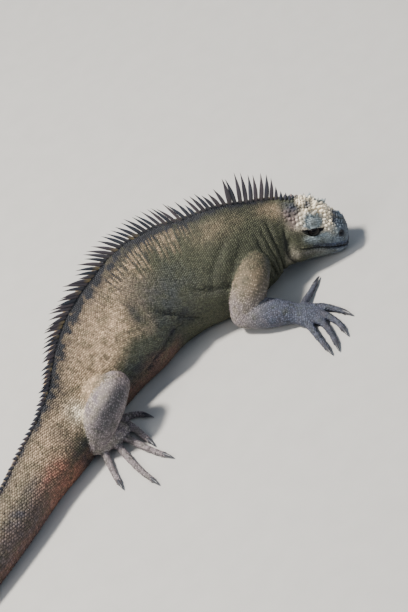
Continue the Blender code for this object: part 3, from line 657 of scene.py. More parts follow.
def head_relief(place):
    """How far the head's form stands out at each place: bell curves for swellings, ridges and
    hollows, a narrow valley along the mouth with a lip on either side, and the jaw's fold."""
    relief = np.zeros(place.shape[:-1])
    for height, radii, centre in SWELLINGS:
        relief += height * np.exp(-(((place - centre) / radii) ** 2).sum(axis=-1))
    for height, radius, line in RIDGES:
        relief += height * np.exp(-(segment_distance(place, line) / radius) ** 2)
    relief -= LENS_SINK * ease(in_lens(place), -0.7, 1.7)
    edge = place[..., 0] - np.interp(place[..., 2], JAW_EDGE_UP, JAW_EDGE_BACK)
    deep = 2.4 - 1.4 * ease(place[..., 2], 14.0, 30.0)
    relief -= deep * bump(edge, 0.0, 2.4) * ease(place[..., 0], 40.0, 50.0)
    over = mouth_height(place)
    reach = fade(place[..., 0], 43.0, 52.0)
    relief -= reach * MOUTH_DEPTH * bump(over, 0.0, 0.75)
    relief += reach * (0.45 * bump(over, 1.9, 1.0) + 0.5 * bump(over, -2.0, 1.1))
    pit = np.linalg.norm(place - NOSTRIL, axis=-1)
    relief += 0.7 * bump(pit, 3.0, 0.9) - 3.0 * np.exp(-(pit / 1.55) ** 4)
    return relief


def lid_form(places, way):
    """The skin over one eye: a ball a little larger than the eyeball, which the head's form
    melts into, with fine wrinkles round a narrow slit, where the skin dips inside the eyeball.
    The slit narrows to both corners as a cosine of the turn from its middle."""
    forward, left, upward = head_axes()
    offset = places - from_head(EYE, way)
    far = np.linalg.norm(offset, axis=1)
    front = offset @ forward
    out = offset @ (way * left)
    up = offset @ upward
    turn = np.arctan2(front, out)
    rise = np.arctan2(up, np.hypot(front, out)) + 0.05
    lid = EYE_RADIUS + 1.15 + 0.12 * np.sin(rise * 26.0) * ease(np.abs(rise), 0.1, 0.3)
    round_over = 0.5 * (far + lid + np.sqrt((far - lid) ** 2 + 0.6))
    opening = np.cos(np.clip(turn * 1.25, -math.pi / 2, math.pi / 2))
    inside = ease(0.2 * opening - rise, -0.03, 0.05) * ease(rise + 0.32 * opening, -0.03, 0.05)
    inside *= ease(opening, 0.12, 0.3)
    made = round_over + (EYE_RADIUS - 1.3 - round_over) * inside
    near = (out > 0.0) & (far < 10.5)
    keep = fade(far, 8.5, 10.5) * ease(out, 0.0, 1.5)
    scale = np.where(near, 1.0 + keep * (made / np.maximum(far, 1e-6) - 1.0), 1.0)
    return from_head(EYE, way) + offset * scale[:, None]


head_place = in_head(places)
with_head = (skin_part == 0) & (skin_s < 76.0)
relief = np.where(with_head, head_relief(head_place) * fade(skin_s, 68.0, 75.0), 0.0)
places = places + relief[:, None] * normals
for way in (-1.0, 1.0):
    places = np.where(with_head[:, None], lid_form(places, way), places)
print("head relief from", round(float(relief.min()), 2), "to", round(float(relief.max()), 2), "mm")

# %% [markdown]
# ## Folds of neck and flank
#
# Loose skin hangs in folds between jaw and shoulder, in front of the thigh and low on
# the flank, where the sleeping animal's belly sags against the ground. Each fold is a
# line over the distance along the body and the angle from the back, with a valley along
# it and a soft roll beside it.

# %% Folds
# Depth, half width in mm, and points of the line: distance along the body, angle from the
# back. Four lie on the neck, two on the shoulder, three on the flank and two by the thigh.
FOLDS = [
    (1.5, 1.8, [(82.0, 0.6), (82.0, 1.15), (78.0, 1.7), (74.0, 2.3), (73.0, 2.9)]),
    (1.2, 1.6, [(89.0, 0.8), (89.0, 1.25), (86.0, 1.75), (82.0, 2.3)]),
    (1.6, 1.8, [(96.0, 0.87), (96.0, 1.22), (93.0, 1.7), (90.0, 2.2)]),
    (1.1, 1.6, [(102.0, 1.05), (103.0, 1.4), (101.0, 1.9)]),
    (1.2, 3.0, [(104.0, 0.95), (118.0, 1.15), (134.0, 1.45)]),
    (1.0, 2.6, [(112.0, 0.7), (124.0, 0.9), (140.0, 1.15), (150.0, 1.5)]),
    (2.2, 3.3, [(230.0, 1.16), (221.0, 1.27), (201.0, 1.46), (186.0, 1.64), (176.0, 1.78),
                (164.0, 1.92)]),
    (1.7, 3.0, [(118.0, 1.58), (132.0, 1.47), (145.0, 1.39), (161.0, 1.31), (174.0, 1.22)]),
    (1.6, 3.0, [(180.0, 1.78), (200.0, 1.66), (222.0, 1.60), (259.0, 1.72), (292.0, 1.92)]),
    (1.0, 3.0, [(262.0, 1.9), (292.0, 1.86), (318.0, 1.7)]),
    (1.2, 3.0, [(352.0, 1.2), (360.0, 1.5), (362.0, 1.9)]),
]
# Millimetres round the body for one radian, and how far from its end a fold fades.
GIRTH = 62.0
FOLD_FADE = 9.0


def folds_near(s, angle):
    """Each fold's depth, less towards its two ends, and the distance from its line in half
    widths, at a distance along the body and an angle from the back."""
    spot = np.stack([s, from_back(angle) * GIRTH], axis=-1)
    found = []
    for depth, width, line in FOLDS:
        knots = [np.array([along, turn * GIRTH]) for along, turn in line]
        for end in (knots[0], knots[-1]):
            depth = depth * (1.0 - bump(np.linalg.norm(spot - end, axis=-1), 0.0, FOLD_FADE))
        found.append((depth, segment_distance(spot, knots) / width))
    return found


def fold_relief(s, angle):
    """How far the folds sink, with a soft roll on either side."""
    relief = np.zeros(len(s))
    for depth, far in folds_near(s, angle):
        relief += depth * (0.35 * bump(far, 2.4, 1.2) - bump(far, 0.0, 1.0))
    return relief


def along_body(points):
    """Each skin point's distance along the body: its exact place's, with the shift from that
    section along the axis, so that it grows evenly over the skin."""
    rows, forward = body_frame(skin_s)[:2]
    shift = -((points - rows[:, :3]) * forward).sum(axis=1)
    return skin_s + np.clip(shift, -3.0, 3.0)


skin_along = np.where(skin_part == 0, along_body(places), skin_s)
folds = np.where(skin_part == 0, fold_relief(skin_along, skin_angle), 0.0)
places = places + folds[:, None] * normals
places[:, 2] = np.maximum(places[:, 2], COAT)
set_places(skin_mesh, places)
print("folds up to", round(float(-folds.min()), 2), "mm deep")

# %% [markdown]
# ## Markings
#
# The hide is dark olive where it is wet or shaded, golden tan high on the flank, blue
# grey in the middle of it, rusty along the belly, and nearly black along the crest, with
# short streaks down the sides. Dried salt crusts the crown. The markings are soft masks
# over the distance along the body and the angle from the back, with sines that bend their
# edges. Skin and scales take them from the same function, and their material turns the
# masks into colour.
# Some masks hold painted shade and light as well, as noted where they are made.

# %% Markings of the trunk
# How far the dark band under the crest reaches, as an angle from the back, along the body.
BAND_AT = [70.0, 110.0, 160.0, 190.0, 230.0, 280.0, 340.0, 400.0, 440.0]
BAND = [0.16, 0.16, 0.2, 0.26, 0.38, 0.52, 0.56, 0.42, 0.2]
STREAK_SPACING = 4.6
# Oval patches: strength, distance along and half length, angle and half width, and the share
# of the wave that bends them.
PATCHES = {
    "gold": [(0.24, 122.0, 20.0, 0.56, 0.2, 0.0), (0.6, 75.0, 9.0, 0.45, 0.22, 0.0)],
    "blue": [(0.22, 205.0, 44.0, 1.15, 0.38, 1.0), (0.2, 300.0, 42.0, 1.62, 0.25, 0.0)],
    "rust": [(1.0, 425.0, 17.0, 1.22, 0.28, 0.5)],
    "dark": [
        (0.3, 205.0, 44.0, 1.15, 0.38, 1.0),
        (0.3, 178.0, 30.0, 1.52, 0.2, 0.0),
        (0.5, 450.0, 16.0, 1.0, 0.25, 1.0),
        (0.45, 485.0, 10.0, 0.9, 0.5, 1.0),
    ],
    "cream": [(0.85, 368.0, 9.0, 1.08, 0.22, 0.0)],
}


def patches(name, s, a, wave):
    """The sum of a mask's patches, each a bell curve along the body and another round it."""
    total = np.zeros(len(s))
    for strength, at, long, turn, wide, share in PATCHES[name]:
        total += strength * bump(s, at, long) * bump(a + share * wave, turn, wide)
    return total


def trunk_marks(s, a):
    """The trunk's masks: sums and products of smooth steps and bell curves. Gold lies high on the flank and
    between the streaks. Rust lies along the belly and on the tail's root. The band under the crest is dark,
    with teeth at its edge and a fringe of streaks below, and so are the belly's edge and a notch in the
    gold. The folds are darkened as painted shade, and the lower side of the tail as painted shade over its
    dark blotches. The wave, a sum of two sines, bends the edges, and the warp makes the streaks uneven."""
    wave = np.sin(s * 0.11 + 2.0 * a) * 0.12 + np.sin(s * 0.043 + 5.0 * a) * 0.15
    warp = np.sin(s * 0.37 + 3.0 * a) + 1.3 * np.sin(s * 0.171 + 1.0) + 0.8 * np.sin(s * 0.83 - 9.0 * a)
    row = (s + 3.0 * a + 0.8 * warp) / STREAK_SPACING
    streak = ease(np.sin(2 * math.pi * row) + 0.25 * warp, -0.3, 0.8)
    band = np.interp(s, BAND_AT, BAND)
    rough = 1.0 - 0.8 * ease(s, 225.0, 290.0)
    fringe = rough * ease(s, 125.0, 165.0) * fade(s, 410.0, 460.0) * ease(a - band, -0.02, 0.12)
    fringe *= fade(a - band + 0.4 * wave + 0.06 * warp, 0.2, 0.5)
    notch = bump(s, 249.0, 11.0) * bump(a + 0.5 * wave, 0.98, 0.14)

    gold = ease(s, 180.0, 285.0) * fade(a + 0.5 * wave - 0.2 * ease(s, 265.0, 320.0), 0.85, 1.35)
    gold += patches("gold", s, a, wave)
    gold *= (1.0 - 0.6 * ease(s, 370.0, 470.0)) * (1.0 - 0.35 * bump(s, 358.0, 22.0))
    gold *= 1.0 - 0.9 * notch
    between = (0.55 + 0.35 * ease(s, 180.0, 260.0)) * (1.0 - streak) * fringe
    gold = np.maximum(gold * (1.0 - 0.4 * streak * fringe), between)

    rust = 0.6 * ease(a + 0.6 * wave, 1.6, 2.0) * ease(s, 205.0, 240.0) * fade(s, 640.0, 800.0)
    rust += patches("rust", s, a, wave) + 0.45 * ease(s, 380.0, 420.0) * ease(a + wave, 1.0, 1.5)

    dark = 0.9 * bump(a, 0.0, 0.34) * ease(s, 66.0, 80.0) * (1.0 - 0.5 * ease(s, 430.0, 560.0))
    dark += 0.5 * streak * fringe + 0.55 * notch + patches("dark", s, a, wave)
    toothed = a - band * (0.95 + 0.25 * streak * rough)
    soft = 0.4 - 0.2 * rough
    in_band = fade(toothed, -soft, soft) * ease(s, 70.0, 90.0)
    dark += 0.85 * in_band * (1.0 - 0.7 * ease(s, 400.0, 480.0))
    dark += 0.55 * ease(a, 1.5, 1.62) * ease(s, 190.0, 225.0) * fade(s, 370.0, 410.0)
    # Painted shade in the folds.
    for depth, far in folds_near(s, a):
        dark += 0.12 * depth * bump(far, 0.0, 1.6)
    # Painted shade on the tail's lower side, which also stands for its dark blotches there.
    dark += 0.6 * ease(s, 440.0, 475.0) * ease(a + wave, 0.6, 1.1)
    dark += 0.5 * bump(s, 392.0, 13.0) * ease(a + wave, 0.7, 1.1)
    dark += 0.25 * ease(s, 340.0, 356.0) * fade(s, 372.0, 400.0) * fade(a, 0.7, 0.95)

    blue = patches("blue", s, a, wave)
    cream = patches("cream", s, a, wave)
    pink = 0.18 * ease(s, 370.0, 460.0) * (0.4 + 0.6 * ease(a, 0.5, 1.2))
    return np.stack([gold, blue, rust, dark, cream, pink, np.zeros(len(s))], axis=1)


print("patches", sum(len(rows) for rows in PATCHES.values()))

# %% Markings of the face


def face_marks(a, place, gold):
    """The face's masks at places in the head. Salt makes the crown cream, apart from bare blots. The brow
    and the ridge under the eye are grey, the snout and the upper lip blue, the temples pink and rusty. The
    lens round the eye is dark lid skin with painted shade from the brow over it. The mouth's groove, the
    nostril and the fold behind the jaw are darkened as painted shade, and no pale mask lies over the dark."""
    back, side, up = place.T
    over = mouth_height(place)
    blot = bump(back, 43.5, 4.2) * bump(side, 2.0, 5.0) + 0.8 * bump(back, 17.0, 5.0) * bump(side, 5.0, 5.0)
    blot = np.clip(blot + bump(back, 57.0, 9.0) * bump(a, 0.36, 0.22), 0.0, 1.0)
    crown = fade(a, 0.72, 1.1) * ease(back, 12.0, 24.0) * fade(back, 47.0, 58.0)
    brow = np.exp(-(((place - BROW) / (12.0, 9.0, 8.5)) ** 2).sum(axis=1))
    ridge = bump(segment_distance(place, UNDER_EYE), 0.0, 3.2)
    lip = fade(back, 30.0, 44.0)
    temple = bump(back, 56.0, 9.0) * bump(a, 0.64, 0.24)
    edge = back - np.interp(up, JAW_EDGE_UP, JAW_EDGE_BACK)
    pit = np.linalg.norm(place - NOSTRIL, axis=1)

    # Painted shade in the mouth's groove.
    dark = 0.9 * bump(over, -0.3, 1.5) * fade(back, 36.0, 50.0)
    # The blots are dark hide; the dark in the nostril is painted shade in its pit.
    dark += 0.55 * blot * (a < 1.3) + 1.2 * np.exp(-(pit / 3.8) ** 4)
    # The upper lip's dark band is its own colour; the lens round the eye is dark lid skin under painted
    # shade from the brow.
    dark += 0.7 * bump(over, 2.8, 2.2) * lip + 2.0 * ease(in_lens(place), -0.7, 0.5)
    dark += 0.4 * bump(back, 6.0, 5.0) * bump(side, 0.0, 9.0)
    # Painted shade in the fold behind the jaw.
    dark += 0.6 * bump(edge, 0.3, 2.2) * ease(back, 42.0, 50.0) * fade(up, 14.0, 26.0)
    bare = 1.0 - np.clip(1.2 * dark, 0.0, 1.0)

    cream = 2.0 * crown * (1.0 - blot) * (1.0 - 0.95 * ease(brow, 0.35, 0.6))
    cream += 0.4 * bump(brow, 0.3, 0.12) * (back < 48.0) * (up > 24.0)
    cream += 0.5 * bump(over, -6.0, 8.0) * bump(back, 55.0, 6.0)
    blue = 0.9 * fade(back, 8.0, 28.0) + 0.9 * bump(over, 2.5, 2.6) * lip + 0.8 * blot
    pink = 0.7 * temple + 0.5 * bump(over, -5.0, 4.0) * bump(back, 34.0, 12.0)
    grey = ease(brow, 0.2, 0.6) + (0.9 - 0.7 * ease(back, 34.0, 46.0)) * ridge
    grey += 0.4 * fade(back, 34.0, 50.0) * (up < 24.0) * (over > 4.0)
    grey += 0.3 * fade(back, 30.0, 50.0) * (over < -1.5)
    gold = gold * ease(back, 50.0, 64.0)
    return np.stack([gold, blue, 0.4 * temple, dark, cream * bare, pink * bare, grey * bare], axis=1)


print("face from the snout to", JAW_EDGE_BACK[-1], "mm behind it")

# %% Markings of the limbs


def limb_marks(arm, s, angle):
    """The limbs' masks. Reach counts 0 to 1 along the upper length, 1 to 2 along the lower and on to the
    digits. An arm is tan above, with painted light that pales the upper length, and blue and darker from
    the elbow on as painted shade. Every limb is bluer underneath as painted shade. A leg is gold on the
    haunch and pink below, with painted shade down the middle of the shank, painted light on one side and a
    sole made pale as painted light."""
    reach = (s - LIMB_START) / LENGTH_SPAN
    leg = 1.0 - arm
    low = ease(np.cos(angle), -0.2, 0.7)
    turn = np.where(arm, ease(reach, 0.9, 1.6), ease(reach, 1.6, 2.4))
    upper = np.where(arm, ease(reach, 0.35, 0.8), ease(reach, 0.65, 1.0))
    # Painted light on the sole, which lies in the shank's shade: it is paler and less dark.
    sole = leg * ease(reach, 1.6, 2.1)
    # Painted shade down the middle of the shank, and painted light on one side of each leg.
    painted_shade_core = leg * bump(reach, 1.42, 0.34) * bump(angle, 1.05, 0.5)
    painted_lit_side = leg * ease(np.cos(angle + 0.6), 0.2, 0.9) * ease(reach, 0.9, 1.1)
    haunch = leg * fade(reach, 0.6, 0.95)
    # Painted shade: blue under each limb, and blue and dark on the arm from the elbow on. Each limb is also
    # a little golder on top.
    gold = 0.12 * low * (1.0 - turn) + 0.3 * arm * bump(reach, 0.45, 0.2) + 0.8 * haunch
    blue = 0.3 * (1.0 - low) + np.where(arm, 1.1, 0.35) * turn + 0.7 * painted_shade_core
    rust = 0.5 * leg * bump(reach, 1.05, 0.12)
    dark = 0.12 + np.where(arm, 0.3, 0.05) * turn + 0.25 * ease(reach, 3.1, 4.2)
    dark = dark * (1.0 - 0.6 * sole) + 1.1 * painted_shade_core
    cream = 0.55 * sole * (1.0 - 0.8 * ease(reach, 3.0, 3.4)) + 0.65 * painted_lit_side * (1.0 - sole)
    # Painted light: the upper arm is paler before the elbow.
    cream += 0.3 * arm * upper * (1.0 - turn)
    pink = 0.85 * upper * (1.0 - 0.8 * arm * turn) * (1.0 - 0.8 * painted_shade_core)
    return np.stack([gold, blue, rust, dark, cream, pink, np.zeros(len(s))], axis=1)


print("limbs take markings of their own:", len(LENGTHS))

# %% Markings of every part
FACE_END = 72.0
MASK_LIMITS = [1.0, 1.5, 1.0, 2.0, 2.0, 1.0, 1.0]
is_arm = np.array([name.startswith("arm") for name in part_names])


def markings(part, s, angle, places):
    """Masks for gold, blue, rust, dark, cream, pink and grey at each place. One over 1 holds
    its colour where the noise is weak."""
    a = from_back(angle)
    masks = trunk_marks(s, a)
    face = (part == 0) & (s < FACE_END)
    masks[face] = face_marks(a[face], in_head(places[face]), masks[face, 0])
    limb = part > 0
    masks[limb] = limb_marks(is_arm[part[limb]], s[limb], angle[limb])
    return np.clip(masks, 0.0, MASK_LIMITS)


def store(mesh, masks, tone, tip):
    """Keeps the masks, each scale's own tone and the height over its root on the mesh, as three
    colour layers whose last holds tone, height and the grey mask."""
    set_colours(mesh, "marks_a", [masks[:, :3]])
    set_colours(mesh, "marks_b", [masks[:, 3:6]])
    set_colours(mesh, "grain", [tone, tip, masks[:, 6]])


skin_marks = markings(skin_part, skin_along, skin_angle, places)
store(skin_mesh, skin_marks, np.full(len(places), 0.5), np.zeros(len(places)))
print("mean of each mask", np.round(skin_marks.mean(axis=0), 2))

# %% [markdown]
# ## Hide, horn, claw and eye
#
# Reptile hide is keratin: dry, with a low broad gloss. Where it is worn or crusted the gloss goes. Horn
# spines and claws are thicker keratin, smoother and darker. The eye is wet. Colours are matched to the
# photo's, with the light taken out, apart from the painted shade and light that some masks hold.

# %% Materials


def linear(hex_colour):
    """An sRGB hex colour as linear red, green, blue and one."""
    channels = [int(hex_colour[i:i + 2], 16) / 255 for i in (1, 3, 5)]
    return [c / 12.92 if c <= 0.04045 else ((c + 0.055) / 1.055) ** 2.4 for c in channels] + [1.0]


def add(tree, kind, inputs, **settings):
    """Adds a node with its settings. Each input is a value or another node's output."""
    made = tree.nodes.new(kind)
    for name, value in settings.items():
        setattr(made, name, value)
    for socket, value in inputs.items():
        if isinstance(value, bpy.types.NodeSocket):
            tree.links.new(value, made.inputs[socket])
        else:
            made.inputs[socket].default_value = value
    return made


def new_material(name, roughness, ior=1.5, specular=0.5):
    """A material with one Principled shader, its nodes and that shader."""
    material = bpy.data.materials.new(name)
    material.use_nodes = True
    shader = material.node_tree.nodes["Principled BSDF"]
    shader.inputs["Roughness"].default_value = roughness
    shader.inputs["IOR"].default_value = ior
    shader.inputs["Specular IOR Level"].default_value = specular
    return material, material.node_tree, shader


GROUND = "#474937"
# The blue and dark tints also carry painted shade, and the cream tint painted light, where the masks lay
# them.
TINTS = {
    "gold": "#c9ad8c",
    "blue": "#42516c",
    "rust": "#93604a",
    "dark": "#26282e",
    "cream": "#fff0d4",
    "pink": "#8b8083",
    "grey": "#8f9b9f",
}
# Noise cells per metre: blotches of 8 mm and pores of 0.9 mm.
MOTTLE_SCALE = 120.0
PORE_SCALE = 1100.0


def hide_material(name, roughness, root_shade, bump_height, tone_low=0.42):
    """Hide: the ground colour with each tint laid over it where its mask is strong. Noise breaks the edges
    of the masks and each scale has its own tone. Roots of scales, and all of the skin between them, are
    darker as painted shade."""
    material, tree, shader = new_material(name, roughness, ior=1.54, specular=0.35)
    space = add(tree, "ShaderNodeTexCoord", {}).outputs["Object"]
    mottle = add(tree, "ShaderNodeTexNoise", {"Vector": space, "Scale": MOTTLE_SCALE, "Detail": 4.0})
    strength = add(tree, "ShaderNodeMapRange", {
        "Value": mottle.outputs["Fac"], "From Min": 0.32, "From Max": 0.62, "To Min": 0.35, "To Max": 1.2})
    grain = add(tree, "ShaderNodeSeparateColor", {
        "Color": add(tree, "ShaderNodeAttribute", {}, attribute_name="grain").outputs["Color"]})
    masks = []
    for layer in ("marks_a", "marks_b"):
        source = add(tree, "ShaderNodeAttribute", {}, attribute_name=layer)
        split = add(tree, "ShaderNodeSeparateColor", {"Color": source.outputs["Color"]})
        masks += list(split.outputs)[:3]
    masks.append(grain.outputs[2])
    colour = linear(GROUND)
    for tint, mask in zip(TINTS.values(), masks):
        factor = add(tree, "ShaderNodeMath", {0: mask, 1: strength.outputs["Result"]},
                     operation="MULTIPLY", use_clamp=True)
        mix = add(tree, "ShaderNodeMix", {0: factor.outputs[0], 6: colour, 7: linear(tint)},
                  data_type="RGBA")
        colour = mix.outputs[2]
    tone = add(tree, "ShaderNodeMapRange", {"Value": grain.outputs[0], "To Min": tone_low, "To Max": 1.5})
    tip = add(tree, "ShaderNodeMapRange", {"Value": grain.outputs[1], "To Min": root_shade, "To Max": 1.08})
    both = add(tree, "ShaderNodeMath", {0: tone.outputs[0], 1: tip.outputs[0]}, operation="MULTIPLY")
    shaded = add(tree, "ShaderNodeVectorMath", {0: colour, "Scale": both.outputs[0]}, operation="SCALE")
    tree.links.new(shaded.outputs[0], shader.inputs["Base Color"])
    pores = add(tree, "ShaderNodeTexNoise", {"Vector": space, "Scale": PORE_SCALE, "Detail": 3.0})
    relief = add(tree, "ShaderNodeBump", {
        "Height": pores.outputs["Fac"], "Strength": 0.35, "Distance": bump_height})
    tree.links.new(relief.outputs["Normal"], shader.inputs["Normal"])
    return material


# Between the scales the hide is soft and dry and hardly shines. Worn scales have a low gloss,
# and a crust of salt is chalky and dull.
# The third number is the painted shade at the roots of scales, and over all the skin between them.
skin_material = hide_material("Iguana hide, dry keratin between scales", 0.72, 0.62, 0.0004)
scale_material = hide_material("Iguana hide, worn granular scales", 0.58, 0.5, 0.0001)
crust_material = hide_material("Iguana hide, cones crusted with salt", 0.8, 0.6, 0.0003, 0.75)
print("hide materials ready")

# %% The skin as a piece
skin = add_piece("skin", skin_mesh, skin_material)
# The skin stands for every solid but the claws and eyes.
flesh = [name for name in frame["nodes"] if "claw" not in name and "eye" not in name]
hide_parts(*flesh)
skin_tree = tree_of(skin_mesh)

# %% [markdown]
# ## Small scales
#
# The real hide is covered with raised scales in slanting rows: grains of about two
# millimetres on the flanks, longer keeled ones in rings round the tail, and small flat ones
# on the limbs, in even rows round the digits. Here each is a low dome with its root sunk
# in the skin. One array holds the unit dome and another the place, size and direction of
# every scale, so that all of a piece are made at once.

# %% Where scales stand


def lattice(rings, along, pitch, stretch, stray=0.16):
    """Staggered rows of places over a closed tube of rings.

    Rows follow each other at the pitch times the stretch along the tube. In a row, places
    stand a pitch apart, measured round the ring. Odd rows are moved by half a pitch, and
    each place strays by a share of the pitch. The pitch and the stretch are functions of
    the distance along. It gives each place, its distance along, its angle, its pitch and
    the way to the tail.
    """
    middle = rings.mean(axis=1)
    travel = np.concatenate([[0.0], np.cumsum(np.linalg.norm(np.diff(middle, axis=0), axis=1))])
    around = rings.shape[1]
    made = []
    where = 0.5 * float(pitch(along[0]))
    row = 0
    while where < travel[-1]:
        i = min(int(np.searchsorted(travel, where, side="right")) - 1, len(travel) - 2)
        t = (where - travel[i]) / max(travel[i + 1] - travel[i], 1e-6)
        ring = rings[i] * (1 - t) + rings[i + 1] * t
        s = along[i] * (1 - t) + along[i + 1] * t
        size = float(pitch(s))
        back = (rings[i + 1] - rings[i]).mean(axis=0)
        closed = np.vstack([ring, ring[:1]])
        round_it = np.concatenate([[0.0], np.cumsum(np.linalg.norm(np.diff(closed, axis=0), axis=1))])
        count = max(int(round_it[-1] / size), 4)
        at = (np.arange(count) + 0.5 * (row % 2) + rng.uniform(-stray, stray, count)) / count * round_it[-1]
        at %= round_it[-1]
        points = np.column_stack([np.interp(at, round_it, closed[:, k]) for k in range(3)])
        drift = rng.uniform(-stray, stray, count)[:, None] * size
        points = points + drift * back / max(np.linalg.norm(back), 1e-9)
        angle = np.interp(at, round_it, np.linspace(0.0, 2 * math.pi, around + 1))
        made.append(np.column_stack([
            points, np.full(count, s), angle, np.full(count, size), np.tile(back, (count, 1))]))
        where += size * float(stretch(s))
        row += 1
    return np.vstack(made)


def settle(rows, reach, part):
    """Lays places on the skin and leaves out those too far inside it, where parts join."""
    places, normals, faces, far = nearest(skin_tree, rows[:, :3])
    keep = far < reach
    rows = rows[keep]
    backward = rows[:, 6:9]
    normals = normals[keep]
    backward = backward - (backward * normals).sum(axis=1, keepdims=True) * normals
    backward /= np.maximum(np.linalg.norm(backward, axis=1, keepdims=True), 1e-9)
    return {
        "place": places[keep], "normal": normals, "back": backward, "s": rows[:, 3],
        "angle": rows[:, 4], "pitch": rows[:, 5], "part": np.full(len(rows), part),
    }


def dome(sides, levels, peak):
    """A unit dome: rings of sides points at (radius, height) levels, and a point on top that is
    moved back by peak. It is open below, where the skin hides it."""
    turn = (np.arange(sides) + 0.5) / sides * 2 * math.pi
    points = [np.column_stack([r * np.cos(turn), r * np.sin(turn), np.full(sides, h)])
              for r, h in levels[:-1]]
    for level, ring in enumerate(points):
        ring[:, 0] += peak * level / len(points)
    points.append(np.array([[peak, 0.0, levels[-1][1]]]))
    j = np.arange(sides)
    k = (j + 1) % sides
    faces = []
    for level in range(len(levels) - 2):
        low, high = level * sides, (level + 1) * sides
        faces.append(np.column_stack([low + j, low + k, high + k]))
        faces.append(np.column_stack([low + j, high + k, high + j]))
    last = (len(levels) - 2) * sides
    faces.append(np.column_stack([last + j, last + k, np.full(sides, last + sides)]))
    return np.vstack(points), np.vstack(faces)


GRAIN = dome(6, [(1.06, -0.45), (0.78, 0.62), (0.0, 1.0)], 0.15)
KEELED = dome(6, [(1.1, -0.45), (0.72, 0.5), (0.0, 1.0)], 0.5)
CONE = dome(8, [(1.05, -0.3), (0.88, 0.22), (0.52, 0.66), (0.0, 1.0)], 0.12)
PLATE = dome(8, [(1.08, -0.5), (0.86, 0.75), (0.0, 1.0)], 0.0)
# Where each part's scales have their roots on an unwrap of the skin: left, low, wide, high.
UNWRAP = np.array([
    (0.01, 0.01, 0.98, 0.58),
    (0.01, 0.62, 0.23, 0.36),
    (0.26, 0.62, 0.23, 0.36),
    (0.51, 0.62, 0.23, 0.36),
    (0.76, 0.62, 0.23, 0.36),
])
# How far a scale's patch reaches on the map, for the radius of the widest dome.
PATCH = 0.0015
WIDEST = 1.1


def make_scales(name, spots, unit, length, width, height, material, lift=None):
    """One mesh with a copy of the unit dome at every spot, as long, wide and high as given in
    shares of the spot's pitch, with its own size and tone. Each takes the skin's markings at
    its root, and its patch on the OFBake map at its root's place on the skin's unwrap."""
    shape, faces = unit
    count = len(spots["s"])
    size = spots["pitch"] * rng.uniform(0.9, 1.06, count)
    tall = size * height * rng.uniform(0.75, 1.2, count)
    if lift is not None:
        tall = tall * lift
    side = np.cross(spots["normal"], spots["back"])
    points = spots["place"][:, None] + (
        (shape[:, 0] * length)[None, :, None] * (size[:, None] * spots["back"])[:, None]
        + (shape[:, 1] * width)[None, :, None] * (size[:, None] * side)[:, None]
        + shape[None, :, 2:3] * (tall[:, None] * spots["normal"])[:, None])
    points[..., 2] = np.maximum(points[..., 2], 0.0)
    every = (faces[None] + len(shape) * np.arange(count)[:, None, None]).reshape(-1, 3)
    mesh = fill_mesh(name, points.reshape(-1, 3), [every])
    marks = markings(spots["part"], spots["s"], spots["angle"], spots["place"])
    tone = np.clip(rng.normal(0.48, 0.27, count), 0.0, 1.0)
    store(mesh, np.repeat(marks, len(shape), axis=0), np.repeat(tone, len(shape)),
          np.tile(np.clip(shape[:, 2], 0.0, 1.0), count))
    box = UNWRAP[spots["part"]]
    on_trunk = spots["part"] == 0
    along = np.where(on_trunk, spots["s"] / STATION[-1], (spots["s"] - LIMB_START) / LIMB_SPAN)
    round_it = spots["angle"] / (2 * math.pi)
    root = np.column_stack([box[:, 0] + box[:, 2] * along, box[:, 1] + box[:, 3] * round_it])
    set_bake_map(mesh, (root[:, None] + PATCH * shape[None, :, :2] / WIDEST).reshape(-1, 2))
    return add_piece(name, mesh, material)


def only(spots, chosen):
    """The chosen ones of many places."""
    return {key: value[chosen] for key, value in spots.items()}


def joined(groups):
    """Several groups of places as one."""
    return {key: np.concatenate([group[key] for group in groups]) for key in groups[0]}


print("faces of a grain", len(GRAIN[1]), "of a cone", len(CONE[1]))

# %% Scales of the flanks, neck and belly
# Flank scales come in pieces of at most this many.
PIECE_SCALES = 10500
TAIL_START = 440.0
body = trunk_s > 64.5


def trunk_pitch(s):
    """Millimetres from scale to scale along the body."""
    return np.interp(s, [60.0, 100.0, 200.0, 330.0, 420.0, 540.0, 760.0, 930.0],
                     [1.7, 1.9, 2.1, 2.1, 2.4, 3.0, 2.9, 1.8])


def trunk_stretch(s):
    """How much longer a row of scales is than wide: more on the tail."""
    return np.interp(s, [380.0, 560.0], [0.86, 1.12])


trunk = settle(lattice(trunk_rings[body], trunk_s[body], trunk_pitch, trunk_stretch), 2.6, 0)
flank = only(trunk, trunk["s"] < TAIL_START)
parts = math.ceil(len(flank["s"]) / PIECE_SCALES)
order = np.argsort(flank["s"], kind="stable")
for number, chosen in enumerate(np.array_split(order, parts), start=1):
    make_scales(f"flank_scales_{number}", only(flank, chosen), GRAIN, 0.56, 0.5, 0.3,
                scale_material)
print("flank scales", len(flank["s"]))

# %% Keeled scales in rings round the tail
tail = only(trunk, trunk["s"] >= TAIL_START)
make_scales("tail_scales", tail, KEELED, 0.66, 0.52, 0.26, scale_material)
print("tail scales", len(tail["s"]))

# %% Scales of the limbs and digits
# Scales stray from their rows by a large share on the limbs, and by little on the digits.
LIMB_STRAY = 0.3
DIGIT_STRAY = 0.05
for limb_number, limb_name in enumerate(LENGTHS, start=1):
    groups = []
    for part_name, rings, along in SURFACES:
        if part_name != limb_name:
            continue
        stray = DIGIT_STRAY if along[0] >= DIGIT_START else LIMB_STRAY
        spots = lattice(rings, along, lambda s: 1.95, lambda s: 0.9, stray)
        groups.append(settle(spots, 1.1, limb_number))
    make_scales(f"{limb_name}_scales", joined(groups), GRAIN, 0.56, 0.52, 0.22,
                scale_material)

